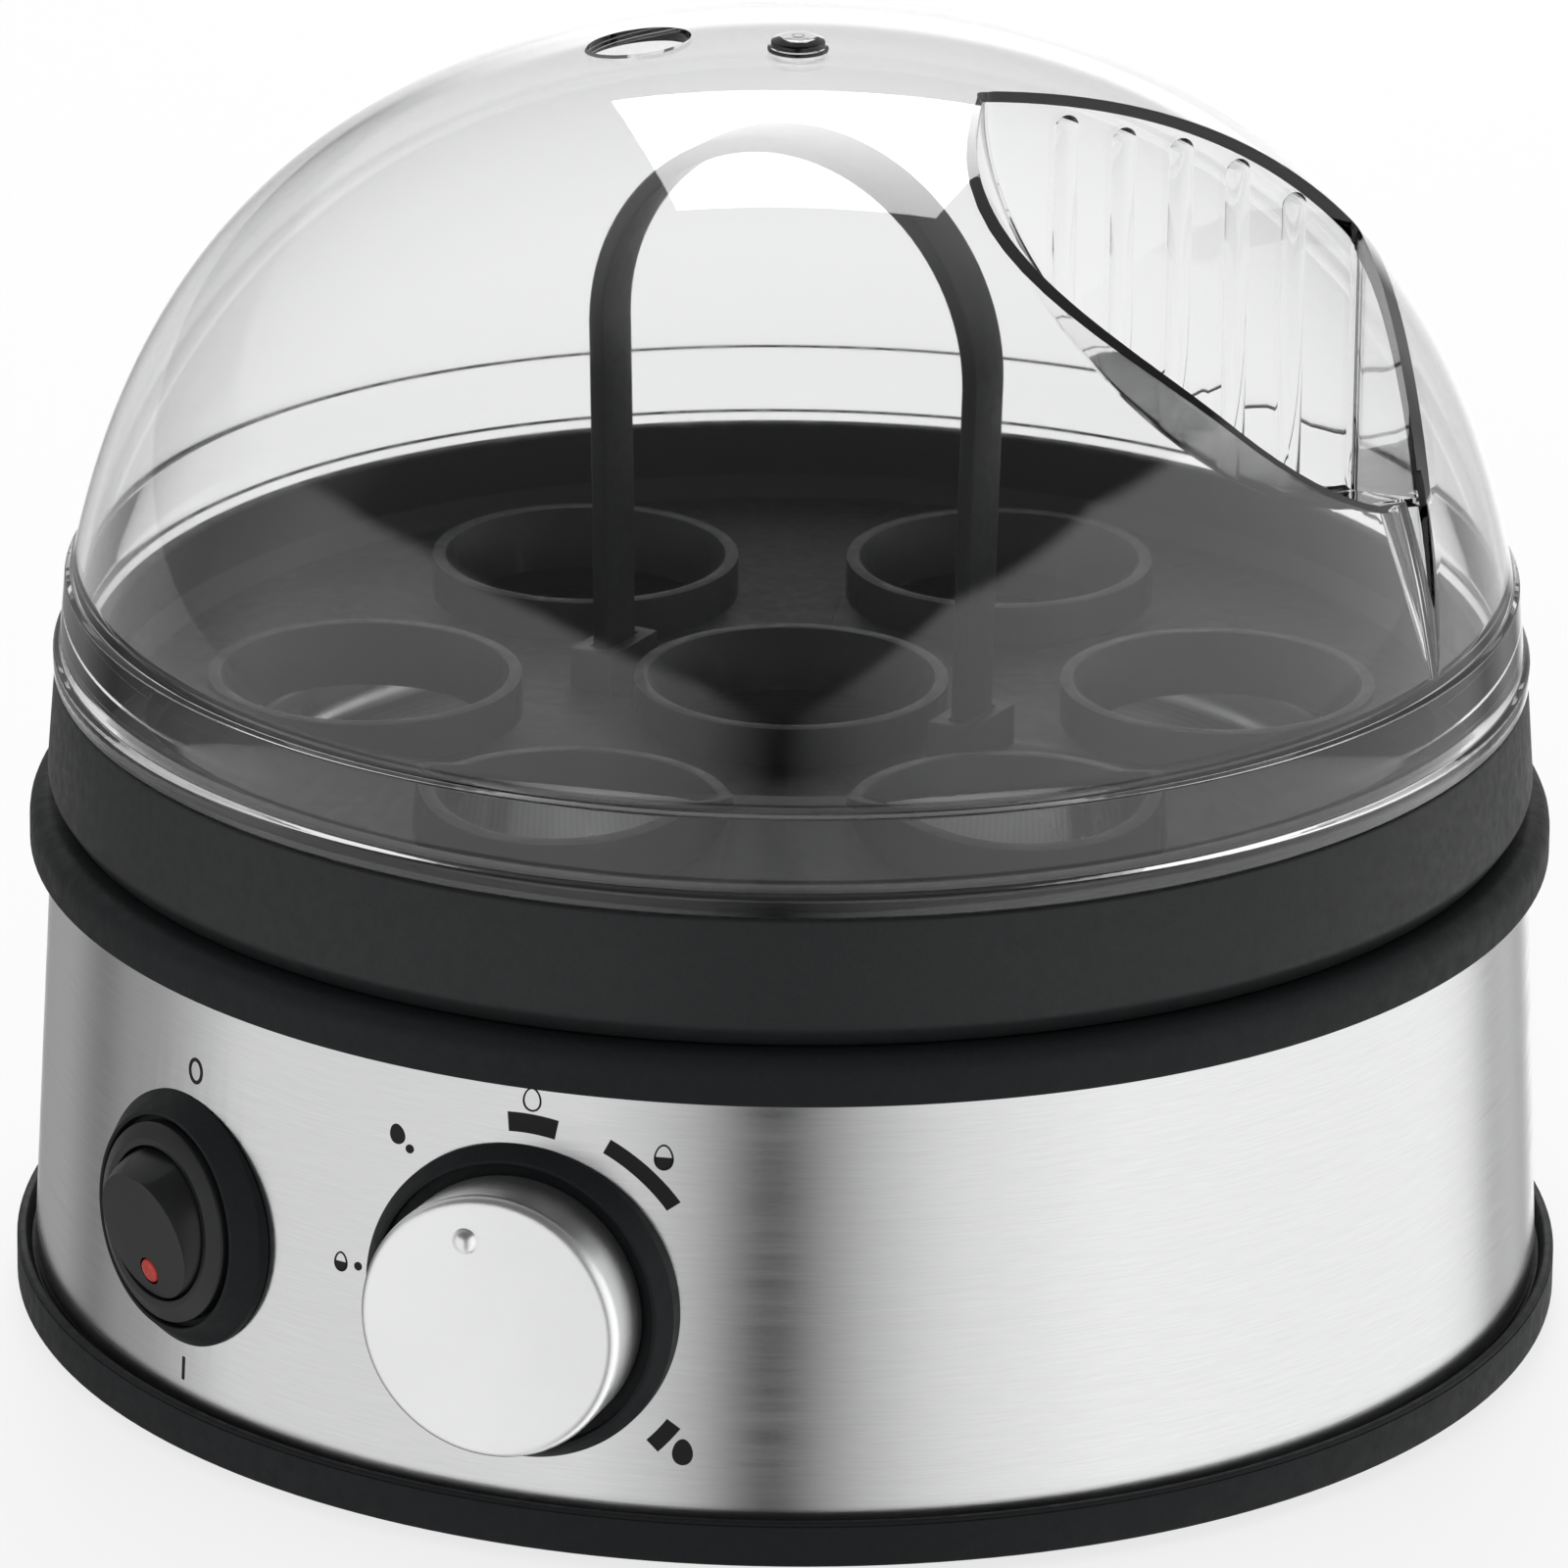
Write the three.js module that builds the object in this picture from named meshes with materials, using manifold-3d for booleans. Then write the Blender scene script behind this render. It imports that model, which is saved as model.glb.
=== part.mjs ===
// Electric egg cooker: steel-banded base, lift-out egg tray with an arch handle, clear dome lid.
// Millimetres, +Z up, front towards -Y. The origin is the centre of the base pan's flat underside.
import * as THREE from "three";
import { mergeVertices } from "three/addons/utils/BufferGeometryUtils.js";
import Module from "manifold-3d";

const wasm = await Module();
wasm.setup();

// Clearances and facets
const gap = 0.3;
const overrun = 2;
const ringSides = 48;
const hiddenSides = 36;
const roundSides = 20;
const smallSides = 12;
const leadSides = 8;
const arcSteps = 2;
const mergeWithin = 1e-4;
const quarterTurn = 90;

// Steel band: its outer radius where it leaves the base, and its taper up to the collar
const shellFootRadius = 92.7;
const shellTaper = 2.4;
const shellHeadRadius = shellFootRadius - shellTaper;
const shellWall = 0.6;
const shellTuck = 2.2;
const groovePlay = 0.4;

// Base pan
const baseRim = 2.3;
const baseRadius = shellFootRadius + baseRim;
const baseHeight = 6.3;
const baseEdge = 0.8;
const baseTopEdge = 0.8;
const panFloor = 2.6;
const panWall = 2.2;
const panWallTop = 12;

// Rubber feet
const footCount = 4;
const footInset = 13.7;
const footCircle = shellFootRadius - footInset;
const footTurn = 65;
const footRadius = 6.5;
const footRecess = 1.3;
const footDrop = 2;
const footChamfer = 0.6;

// Pan screws and the posts that they go into
const screwCount = 4;
const screwTurn = 20;
const postRadius = 4.2;
const postBoss = 6;
const screwHeadRadius = 3.2;
const screwHeadHeight = 2;
const screwSink = 3.2;
const screwRadius = 1.6;
const screwLength = 14;
const driveSpan = 3.9;
const driveWidth = 0.8;
const driveDepth = 0.9;

// Collar
const lipOverhang = 2.6;
const lipRadius = shellHeadRadius + lipOverhang;
const lipFoot = 57.1;
const collarTop = 63;
const lipRound = 2.6;
const lipEdge = 0.3;
const collarSkirt = 7;
const collarSkirtWall = 2;
const collarPlate = 3.4;
const collarLand = 9.3;
const ledgeRadius = shellHeadRadius - collarLand;
const ledgeDrop = 4;
const ledgeWidth = 6;
const boreRadius = ledgeRadius - ledgeWidth;
const boreRing = 13;
const boreWall = 2.6;

// Heating plate, its gasket and what clamps it
const gasketHeight = 1;
const gasketWidth = 5;
const plateWall = 0.8;
const plateFloor = 50;
const plateCrown = 0.8;
const plateInset = 2.4;
const plateWallRadius = boreRadius - plateInset;
const plateSlope = 11.6;
const plateFloorRadius = plateWallRadius - plateSlope;
const plateWallRise = 6;
const studRadius = 2;
const studLength = 15;
const bracketWidth = 12;
const bracketThickness = 2;
const bracketDrop = 8.4;
const bracketFlat = 49;
const bracketLap = 2;
const bracketReach = boreRadius + bracketLap;
const nutAcross = 8;
const nutHeight = 3.2;
const tagRadius = 5;
const tagThickness = 0.8;
const tagReach = 13;
const tagWidth = 6.3;

// Heating element
const elementCircle = 42;
const elementRadius = 3.4;
const elementOpening = 40;
const elementOpeningAt = 60;
const elementSteps = 30;
const elementSides = 8;
const pinRadius = 1.6;
const pinDrop = 12;
const pinInset = 2;

// Limit thermostat and thermal fuse, under the plate
const limitRadius = 8;
const limitHeight = 6.5;
const limitPlace = 22;
const limitAt = 110;
const bladeWidth = 6.3;
const bladeThickness = 0.8;
const bladeLength = 8;
const bladeSpread = 4.4;
const switchBladeSpread = 6.6;
const fuseRadius = 2.4;
const fuseLength = 20;
const fusePlace = 22;
const fuseAt = 290;
const fuseWireRadius = 0.7;
const fuseWire = 6;
const clipWall = 0.8;
const clipWidth = 8;

// Control axes on the band: degrees round from +X, and heights
const knobAt = -109.8;
const knobAxisHeight = 29.9;
const switchAt = -141.6;
const switchAxisHeight = 28;

// Knob, its surround, its shaft and the regulator behind it
const knobBezelRadius = 19.3;
const knobBezelSkirt = 0.6;
const knobBezelHeight = 2.4;
const knobBezelRim = 0.6;
const knobBezelRoot = 6;
const knobSeatRadius = 17.4;
const knobSeatHeight = 0.9;
const knobRadius = 15.9;
const knobFaceRadius = 16.1;
const knobHeight = 9.2;
const knobEdge = 0.9;
const knobLift = 0.6;
const knobWall = 2.2;
const knobCavity = 6.4;
const knobHub = 5.6;
const knobTurn = 16;
const pointerRadius = 1.6;
const pointerRise = 1.1;
const pointerPlace = 10.8;
const shaftRadius = 3;
const shaftInside = 9;
const shaftInKnob = 3.6;
const bushRadius = 4.6;
const bushProud = 2.8;
const regulatorWidth = 28;
const regulatorTall = 26;
const regulatorDeep = 16;
const regulatorCorner = 3;
const regulatorSetback = 5;
const regulatorNutAcross = 13;
const regulatorNutHeight = 2.2;

// Switch, its surround and its rocker
const switchBezelRadius = 15.65;
const switchBezelSkirt = 0.5;
const switchBezelHeight = 2.7;
const switchBezelRim = 0.5;
const switchSeatRadius = 12.9;
const switchSeatHeight = 1.4;
const switchFlangeRadius = 12.2;
const switchFlangeHeight = 2.35;
const switchFlangeDrop = 0.95;
const switchFlangeFlat = 1;
const barrelRadius = 11.2;
const barrelLength = 22.4;
const rockerOpening = 9.3;
const rockerFlare = 0.7;
const rockerWell = 12.2;
const rockerPlay = 0.3;
const rockerPivotDepth = 3.2;
const rockerFaceTilt = 14.5;
const rockerBrow = 6.1;
const rockerBrowTilt = 55;
const rockerBack = 5.6;
const trunnionRadius = 0.8;
const trunnionReach = 1.2;
const lensRadius = 1.5;
const lensDepth = 1.8;
const lensPlace = 3.1;
const lensProud = 0.3;

// Terminal block, gland and leads
const blockLength = 30;
const blockWidth = 14;
const blockHeight = 13;
const blockPlace = 52;
const blockWays = 3;
const wayRadius = 2.3;
const wayDepth = 6;
const leadEntry = 1;
const glandHeight = 20;
const glandAt = 90;
const glandRadius = 7.5;
const glandNeck = 5.2;
const glandBore = 3.6;
const glandProud = 4;
const glandInside = 4;
const leadRadius = 1.1;
const leadPull = 14;
const leadSteps = 10;

// Egg tray
const trayFootRadius = 89;
const trayBulgeRadius = 90.7;
const trayBulgeRise = 2.7;
const trayTopRadius = 89.7;
const trayTop = 79.1;
const trayWall = 2.4;
const trayFloorTop = 72;
const trayFloor = 2.2;
const ridgeRadius = 86;
const ridgeWall = 1.9;
const ridgeHeight = 2.4;
const ribRadius = 80.5;
const ribWall = 1.8;
const seatCircle = 52;
const seatCount = 6;
const seatTopRadius = 17.6;
const seatHoleRadius = 15.2;
const seatWall = 1.6;
const seatRise = 5;

// Carry handle
const handleAt = -30;
const handleWidth = 7.2;
const handleThickness = 2;
const handleFootSpan = 25.2;
const handleArchRadius = 27;
const handleTop = 146;
const handleLegKnee = 95;
const handleSocketWall = 1.6;
const handleSocketRise = 5;
const handleBarb = 1;
const handleBarbLength = 2.6;
const handleArchSteps = 16;

// Lid: rim flange, thick skirt, dome
const lidRimRadius = 89.9;
const lidRimHeight = 2.4;
const lidShoulder = 0.5;
const lidSkirtTopRadius = 88.1;
const lidSkirtTop = 91.2;
const lidDomeFootRadius = 87.6;
const lidTop = 156.8;
const lidTopHandle = 58;
const lidFootHandle = 36;
const lidFootLean = 0.2;
const lidWall = 2.2;
const lidDomeSteps = 9;
const nubRadius = 3.8;
const nubTipRadius = 2.3;
const nubRise = 0.8;
const nubTipRise = 1.7;
const nubPinhole = 0.6;
const ventRadius = 6.3;
const ventPlace = 20.6;
const ventDrill = 9;
const ventAt = 158.5;

// Grip recess in the lid: a flat fluted wall, and a scooped floor that rises towards its mouth
const gripWallAt = -65.2;
const gripWallDistance = 18.3;
const gripLeft = 16.2;
const gripRight = 66.5;
const gripLeftFoot = 152;
const gripFloor = 97.9;
const gripLeftPull = 20;
const gripLeftPullRun = 0.8;
const gripFloorPull = 18;
const gripFloorPullRise = 5.1;
const gripFloorRun = 6.5;
const gripCeiling = 175;
const gripReach = 58;
const gripFloorSlope = 0.33;
const gripSideSlope = 0.3;
const gripFlareSlope = 0.3;
const gripFlareWidth = 24;
const gripCurveSteps = 7;
const gripMouthSteps = 2;
const fluteCount = 5;
const fluteFirst = 27.1;
const flutePitch = 7.7;
const fluteRadius = 1.85;
const fluteProud = 1;
const fluteTopDrop = 2.8;
const runoutTipAt = -28.4;
const runoutHeadAt = -24;
const runoutTip = 94.2;
const runoutTop = 115;
const runoutRadius = 3.4;

// Surface finishes
const finish = {
  grainedPlastic: () => surface(0x1e2021, 0.62, 0),
  trayPlastic: () => surface(0x33373a, 0.55, 0),
  brushedSteel: () => surface(0xc2c4c6, 0.34, 1),
  plainSteel: () => surface(0xaeb1b4, 0.42, 1),
  plateSteel: () => surface(0xb9bcbe, 0.3, 1),
  satinSilver: () => surface(0xd2d4d6, 0.4, 0.6),
  glossBlack: () => surface(0x101112, 0.3, 0),
  silicone: () => surface(0xc9c7c0, 0.8, 0),
  rubber: () => surface(0x151515, 0.9, 0),
  ceramic: () => surface(0xe6e1d6, 0.7, 0),
  phenolic: () => surface(0x2a2320, 0.6, 0),
  brass: () => surface(0xb99a55, 0.4, 1),
  redLens: () => surface(0xc0271f, 0.2, 0),
  blueLead: () => surface(0x2b4f9a, 0.6, 0),
  brownLead: () => surface(0x5a3a22, 0.6, 0),
  clear: () => {
    const clear = surface(0xf4f6f7, 0.05, 0);
    clear.transparent = true;
    clear.opacity = 0.25;
    return clear;
  },
};

function surface(color, roughness, metalness) {
  return new THREE.MeshStandardMaterial({ color, roughness, metalness });
}

function radians(degrees) {
  return THREE.MathUtils.degToRad(degrees);
}

function around(radius, degrees, height = 0) {
  const angle = radians(degrees);
  return new THREE.Vector3(radius * Math.cos(angle), radius * Math.sin(angle), height);
}

// Solids: a closed three.js geometry becomes a solid that can be joined and cut
function signedVolume(position, index) {
  const [a, b, c] = [new THREE.Vector3(), new THREE.Vector3(), new THREE.Vector3()];
  let total = 0;
  for (let i = 0; i < index.length; i += 3) {
    a.fromBufferAttribute(position, index[i]);
    b.fromBufferAttribute(position, index[i + 1]);
    c.fromBufferAttribute(position, index[i + 2]);
    total += a.dot(b.cross(c));
  }
  return total;
}

function solid(geometry) {
  const bare = new THREE.BufferGeometry();
  bare.setAttribute("position", geometry.getAttribute("position").clone());
  if (geometry.index) bare.setIndex(geometry.index.clone());
  const merged = mergeVertices(bare, mergeWithin);
  const position = merged.getAttribute("position");
  let index = [];
  for (let i = 0; i < merged.index.count; i += 3) {
    const corners = [merged.index.getX(i), merged.index.getX(i + 1), merged.index.getX(i + 2)];
    if (new Set(corners).size === 3) index.push(...corners);
  }
  if (signedVolume(position, index) < 0) index = index.reverse();
  return new wasm.Manifold(new wasm.Mesh({
    numProp: 3,
    vertProperties: new Float32Array(position.array),
    triVerts: new Uint32Array(index),
  }));
}

function join(first, ...others) {
  return others.reduce((sum, other) => sum.add(other), first);
}

function cut(first, ...others) {
  return others.reduce((rest, other) => rest.subtract(other), first);
}

function geometryOf(body) {
  const mesh = body.getMesh();
  const geometry = new THREE.BufferGeometry();
  geometry.setAttribute("position", new THREE.BufferAttribute(new Float32Array(mesh.vertProperties), 3));
  geometry.setIndex(new THREE.BufferAttribute(new Uint32Array(mesh.triVerts), 1));
  geometry.computeVertexNormals();
  return geometry;
}

// Shapes: turned, straight and bent pieces
function turned(outline, sides) {
  const points = outline.map(([radius, height]) => new THREE.Vector2(radius, height));
  const closesOnAxis = outline[0][0] === 0 && outline[outline.length - 1][0] === 0;
  if (!closesOnAxis) points.push(points[0].clone());
  return solid(new THREE.LatheGeometry(points, sides).rotateX(Math.PI / 2));
}

function rod(radius, from, to, sides = roundSides) {
  return solid(rodGeometry(radius, from, to, sides));
}

function rodGeometry(radius, from, to, sides = roundSides, topRadius = radius) {
  const length = to - from;
  return new THREE.CylinderGeometry(topRadius, radius, length, sides).rotateX(Math.PI / 2)
    .translate(0, 0, from + length / 2);
}

function block(width, depth, height, x, y, from) {
  return solid(new THREE.BoxGeometry(width, depth, height).translate(x, y, from + height / 2));
}

function quarterArc(centreRadius, centreHeight, size, fromDegrees, toDegrees) {
  return Array.from({ length: arcSteps + 1 }, (_, step) => {
    const angle = radians(fromDegrees + (toDegrees - fromDegrees) * step / arcSteps);
    return [centreRadius + size * Math.cos(angle), centreHeight + size * Math.sin(angle)];
  });
}

function prism(points, depth) {
  const shape = new THREE.Shape(points.map(([x, y]) => new THREE.Vector2(x, y)));
  return new THREE.ExtrudeGeometry(shape, { depth, bevelEnabled: false });
}

function roundSection(radius, sides) {
  return new THREE.Shape(Array.from({ length: sides }, (_, side) => {
    const angle = 2 * Math.PI * side / sides;
    return new THREE.Vector2(radius * Math.cos(angle), radius * Math.sin(angle));
  }));
}

function tube(path, radius, sides, steps) {
  return solid(new THREE.ExtrudeGeometry(roundSection(radius, sides), { extrudePath: path, steps }));
}

function hexagon(across, from, to) {
  return solid(rodGeometry(across / Math.sqrt(3), from, to, 6));
}

function moved(body, place) {
  return body.translate([place.x, place.y, place.z]);
}

function turnedBy(body, degrees) {
  return body.rotate([0, 0, degrees]);
}

// The band's taper, which its holes and the collar follow
function bandRadius(height) {
  const share = (height - baseHeight) / (lipFoot - baseHeight);
  return shellFootRadius + (shellHeadRadius - shellFootRadius) * share;
}

const bandLean = Math.atan2(shellFootRadius - shellHeadRadius, lipFoot - baseHeight);

// A group whose local +Z leaves the band square to its surface, with local +Y up the band
function bandFrame(degrees, height) {
  const out = around(Math.cos(bandLean), degrees, Math.sin(bandLean));
  const side = around(1, degrees + quarterTurn);
  const frame = new THREE.Group();
  frame.matrix.makeBasis(side, out.clone().cross(side), out);
  frame.matrix.setPosition(around(bandRadius(height), degrees, height));
  frame.matrix.decompose(frame.position, frame.quaternion, frame.scale);
  frame.updateMatrixWorld(true);
  return frame;
}

const knobFrame = bandFrame(knobAt, knobAxisHeight);
const switchFrame = bandFrame(switchAt, switchAxisHeight);
const glandFrame = bandFrame(glandAt, glandHeight);

function inWorld(frame, geometry) {
  return solid(geometry.applyMatrix4(frame.matrix));
}

// The space inside the band's outer face, grown by a gap, in a control's own frame
function bandCore(frame, grow) {
  const low = bandRadius(0) + grow;
  const high = bandRadius(collarTop) + grow;
  const core = rodGeometry(low, 0, collarTop, ringSides * 2, high);
  return solid(core.applyMatrix4(frame.matrix.clone().invert()));
}

const cooker = new THREE.Group();

function place(name, body, material, frame = cooker) {
  const mesh = new THREE.Mesh(geometryOf(body), material);
  mesh.name = name;
  frame.add(mesh);
}

const postCircle = (ledgeRadius + bandRadius(lipFoot) - shellWall - collarSkirtWall) / 2;
const screwPlaces = spread(screwCount, postCircle, screwTurn);
const footPlaces = spread(footCount, footCircle, footTurn);

function spread(count, radius, firstDegrees) {
  return Array.from({ length: count }, (_, item) => around(radius, firstDegrees + 360 * item / count));
}

// Base pan: floor, outer ring, groove for the band, screw bosses and foot recesses
const grooveFloor = baseHeight - shellTuck;
const grooveOuter = bandRadius(grooveFloor) + groovePlay;
const grooveInner = bandRadius(panWallTop) - shellWall - groovePlay;

function basePan() {
  const edgeCentre = baseRadius - baseEdge;
  let pan = turned([
    [0, 0],
    ...quarterArc(edgeCentre, baseEdge, baseEdge, -quarterTurn, 0),
    [baseRadius, baseHeight - baseTopEdge],
    [baseRadius - baseTopEdge, baseHeight],
    [grooveOuter, baseHeight],
    [grooveOuter, grooveFloor],
    [grooveInner, grooveFloor],
    [grooveInner, panWallTop],
    [grooveInner - panWall, panWallTop],
    [grooveInner - panWall, panFloor],
    [0, panFloor],
  ], ringSides);
  for (const at of screwPlaces) {
    const boss = rod(postRadius + panWall / 2, panFloor / 2, postBoss);
    const hole = rod(screwRadius + gap, -overrun, postBoss + overrun, smallSides);
    const headSink = rod(screwHeadRadius + gap, -overrun, screwSink);
    pan = cut(pan.add(moved(boss, at)), moved(hole, at), moved(headSink, at));
  }
  for (const at of footPlaces) {
    pan = pan.subtract(moved(rod(footRadius + gap, -overrun, footRecess), at));
  }
  return pan;
}

function rubberFoot() {
  const top = footRecess - gap;
  return turned([
    [0, -footDrop],
    [footRadius - footChamfer, -footDrop],
    [footRadius, footChamfer - footDrop],
    [footRadius, top],
    [0, top],
  ], roundSides);
}

function panScrew() {
  const seat = screwSink - gap;
  const screw = join(
    rod(screwHeadRadius, seat - screwHeadHeight, seat, smallSides),
    rod(screwRadius, seat - screwHeadHeight / 2, seat + screwLength, smallSides),
  );
  const slotFoot = seat - screwHeadHeight - overrun;
  const slotHeight = overrun + driveDepth;
  return cut(
    screw,
    block(driveSpan, driveWidth, slotHeight, 0, 0, slotFoot),
    block(driveWidth, driveSpan, slotHeight, 0, 0, slotFoot),
  );
}

function steelShell() {
  const foot = grooveFloor + gap;
  const head = lipFoot + shellTuck;
  const band = turned([
    [bandRadius(foot), foot],
    [bandRadius(head), head],
    [bandRadius(head) - shellWall, head],
    [bandRadius(foot) - shellWall, foot],
  ], ringSides);
  const reach = baseRadius - shellHeadRadius + overrun;
  const through = (radius) => rodGeometry(radius + gap, -regulatorSetback, reach);
  return cut(
    band,
    inWorld(knobFrame, through(bushRadius)),
    inWorld(switchFrame, through(barrelRadius)),
    inWorld(glandFrame, through(glandNeck)),
  );
}

// Collar: rounded lip over the band, ledge and bore for the plate, screw posts
const ledge = collarTop - ledgeDrop;
const boreFoot = ledge - boreRing;

function collar() {
  const head = lipFoot + shellTuck + gap;
  const outer = bandRadius(lipFoot) + groovePlay;
  const inner = bandRadius(head) - shellWall - groovePlay;
  const underside = collarTop - collarPlate;
  const skirtFoot = underside - collarSkirt;
  const ringOuter = boreRadius + boreWall;
  let body = turned([
    [lipRadius - lipEdge, lipFoot],
    [lipRadius, lipFoot + lipEdge],
    ...quarterArc(lipRadius - lipRound, collarTop - lipRound, lipRound, 0, quarterTurn),
    [ledgeRadius, collarTop],
    [ledgeRadius, ledge],
    [boreRadius, ledge],
    [boreRadius, boreFoot],
    [ringOuter, boreFoot],
    [ringOuter, ledge - collarPlate],
    [ledgeRadius + collarSkirtWall, ledge - collarPlate],
    [ledgeRadius + collarSkirtWall, underside],
    [inner - collarSkirtWall, underside],
    [inner - collarSkirtWall, skirtFoot],
    [inner, skirtFoot],
    [inner, head],
    [outer, head],
    [outer, lipFoot],
  ], ringSides);
  const pilotTop = screwSink + screwLength + overrun;
  for (const at of screwPlaces) {
    const post = rod(postRadius, postBoss + gap, ledge - collarPlate / 2, smallSides);
    const pilot = rod(screwRadius + gap, postBoss - overrun, pilotTop, smallSides);
    body = body.add(moved(post, at)).subtract(moved(pilot, at));
  }
  return body;
}

// Heating plate on its gasket, with the stud that the bracket pulls on
const gasketFoot = ledge + gap;
const flangeFoot = gasketFoot + gasketHeight + gap;
const flangeTop = flangeFoot + plateWall;
const flangeRadius = ledgeRadius - 2 * gap;
const plateUnder = plateFloor - plateWall;

function plateGasket() {
  const outer = ledgeRadius - 2 * gap;
  const inner = outer - gasketWidth;
  const top = gasketFoot + gasketHeight;
  return turned([[inner, gasketFoot], [outer, gasketFoot], [outer, top], [inner, top]], hiddenSides);
}

function heatingPlate() {
  const wallTop = plateFloor + plateWallRise;
  const bowl = turned([
    [0, plateUnder + plateCrown],
    [elementCircle - elementRadius, plateUnder],
    [plateFloorRadius, plateUnder],
    [plateWallRadius, wallTop - plateWall],
    [boreRadius - plateWall, flangeFoot],
    [flangeRadius, flangeFoot],
    [flangeRadius, flangeTop],
    [boreRadius - 2 * plateWall, flangeTop],
    [plateWallRadius - plateWall, wallTop],
    [plateFloorRadius, plateFloor],
    [elementCircle - elementRadius, plateFloor],
    [0, plateFloor + plateCrown],
  ], hiddenSides);
  const studTop = plateUnder + plateCrown + plateWall / 2;
  return bowl.add(rod(studRadius, plateUnder - studLength, studTop, smallSides));
}

const elementHeight = plateUnder - gap - elementRadius;
const pinFoot = elementHeight - pinDrop;
const elementEnds = [1, -1].map((side) => elementOpeningAt + side * (elementOpening / 2 + pinInset));

function heatingElement() {
  const sweep = 360 - elementOpening;
  const first = elementOpeningAt + elementOpening / 2;
  const flat = new THREE.CatmullRomCurve3(Array.from({ length: elementSteps + 1 }, (_, step) => {
    return around(elementCircle, first + sweep * step / elementSteps, elementHeight);
  }));
  const ring = tube(flat, elementRadius, elementSides, elementSteps);
  const pin = rod(pinRadius, pinFoot, elementHeight, leadSides);
  const pins = elementEnds.map((end) => moved(pin, around(elementCircle, end)));
  return join(ring, ...pins);
}

// Bracket: a strap that spans the plate below the element and bears on the collar's bore ring
const strapTop = elementHeight - elementRadius - gap;
const strapFoot = strapTop - bracketThickness;

function plateBracket() {
  const endTop = boreFoot - gap;
  const endFoot = endTop - bracketThickness;
  const outline = [
    [-bracketReach, endTop], [-bracketReach, endFoot], [-bracketFlat - bracketDrop, endFoot],
    [-bracketFlat, strapFoot], [bracketFlat, strapFoot], [bracketFlat + bracketDrop, endFoot],
    [bracketReach, endFoot], [bracketReach, endTop], [bracketFlat + bracketDrop, endTop],
    [bracketFlat, strapTop], [-bracketFlat, strapTop], [-bracketFlat - bracketDrop, endTop],
  ];
  const strap = prism(outline, bracketWidth).translate(0, 0, -bracketWidth / 2).rotateX(Math.PI / 2);
  const hole = rod(studRadius + gap, strapFoot - overrun, strapTop + overrun, smallSides);
  return turnedBy(cut(solid(strap), hole), screwTurn);
}

const tagTop = strapFoot - gap;
const tagFoot = tagTop - tagThickness;

function earthTag() {
  const ring = rod(tagRadius, tagFoot, tagTop);
  const blade = block(tagWidth, tagReach, tagThickness, 0, -tagReach / 2, tagFoot);
  return cut(join(ring, blade), rod(studRadius + gap, tagFoot - overrun, tagTop + overrun, smallSides));
}

function plateNut() {
  const top = tagFoot - gap;
  const nut = hexagon(nutAcross, top - nutHeight, top);
  return nut.subtract(rod(studRadius + gap, top - nutHeight - overrun, top + overrun, smallSides));
}

const underPlate = plateUnder - gap;

function limitThermostat() {
  const top = underPlate;
  const cup = rod(limitRadius, top - limitHeight, top);
  const bladeFoot = top - limitHeight - bladeLength;
  const blades = [-1, 1].map((side) => block(
    bladeThickness, bladeWidth, bladeLength + overrun, side * bladeSpread, 0, bladeFoot,
  ));
  return moved(turnedBy(join(cup, ...blades), limitAt), around(limitPlace, limitAt));
}

const clipReach = fuseRadius + gap + clipWall;
const fuseHeight = underPlate - clipReach;

function lyingRod(radius, length) {
  return solid(new THREE.CylinderGeometry(radius, radius, length, smallSides));
}

function atFuse(body) {
  return moved(turnedBy(body, fuseAt), around(fusePlace, fuseAt, fuseHeight));
}

function thermalFuse() {
  const wires = lyingRod(fuseWireRadius, fuseLength + 2 * fuseWire);
  return atFuse(join(lyingRod(fuseRadius, fuseLength), wires));
}

function fuseClip() {
  const band = lyingRod(clipReach, clipWidth).subtract(lyingRod(fuseRadius + gap, clipWidth + overrun));
  const mouth = solid(new THREE.BoxGeometry(fuseRadius, clipWidth + overrun, 2 * clipReach))
    .translate([0, 0, -clipReach]);
  const foot = solid(new THREE.BoxGeometry(2 * clipReach + clipWidth, clipWidth, clipWall))
    .translate([0, 0, clipReach - clipWall / 2]);
  const keepOut = lyingRod(fuseRadius + gap, clipWidth + overrun);
  return atFuse(cut(join(cut(band, mouth), foot), keepOut));
}

// Knob: surround on the band, regulator behind it, nut, shaft and knob
function knobBezel() {
  const ring = turned([
    [0, -knobBezelRoot],
    [knobBezelRadius, -knobBezelRoot],
    [knobBezelRadius, knobBezelSkirt],
    [knobSeatRadius + knobBezelRim, knobBezelHeight],
    [knobSeatRadius, knobBezelHeight],
    [knobSeatRadius, knobSeatHeight],
    [0, knobSeatHeight],
  ], roundSides * 2);
  const hole = rod(bushRadius + gap, -knobBezelRoot - overrun, knobBezelHeight + overrun);
  return cut(ring, hole, bandCore(knobFrame, gap));
}

const bushTop = knobSeatHeight + gap + bushProud;
const regulatorFront = -regulatorSetback;

function roundedRectangle(width, height, corner) {
  const shape = new THREE.Shape();
  const [x, y] = [width / 2, height / 2];
  shape.moveTo(-x + corner, -y);
  shape.lineTo(x - corner, -y);
  shape.absarc(x - corner, -y + corner, corner, -Math.PI / 2, 0);
  shape.lineTo(x, y - corner);
  shape.absarc(x - corner, y - corner, corner, 0, Math.PI / 2);
  shape.lineTo(-x + corner, y);
  shape.absarc(-x + corner, y - corner, corner, Math.PI / 2, Math.PI);
  shape.lineTo(-x, -y + corner);
  shape.absarc(-x + corner, -y + corner, corner, Math.PI, 1.5 * Math.PI);
  return shape;
}

const regulatorRear = regulatorFront - regulatorDeep;

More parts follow.
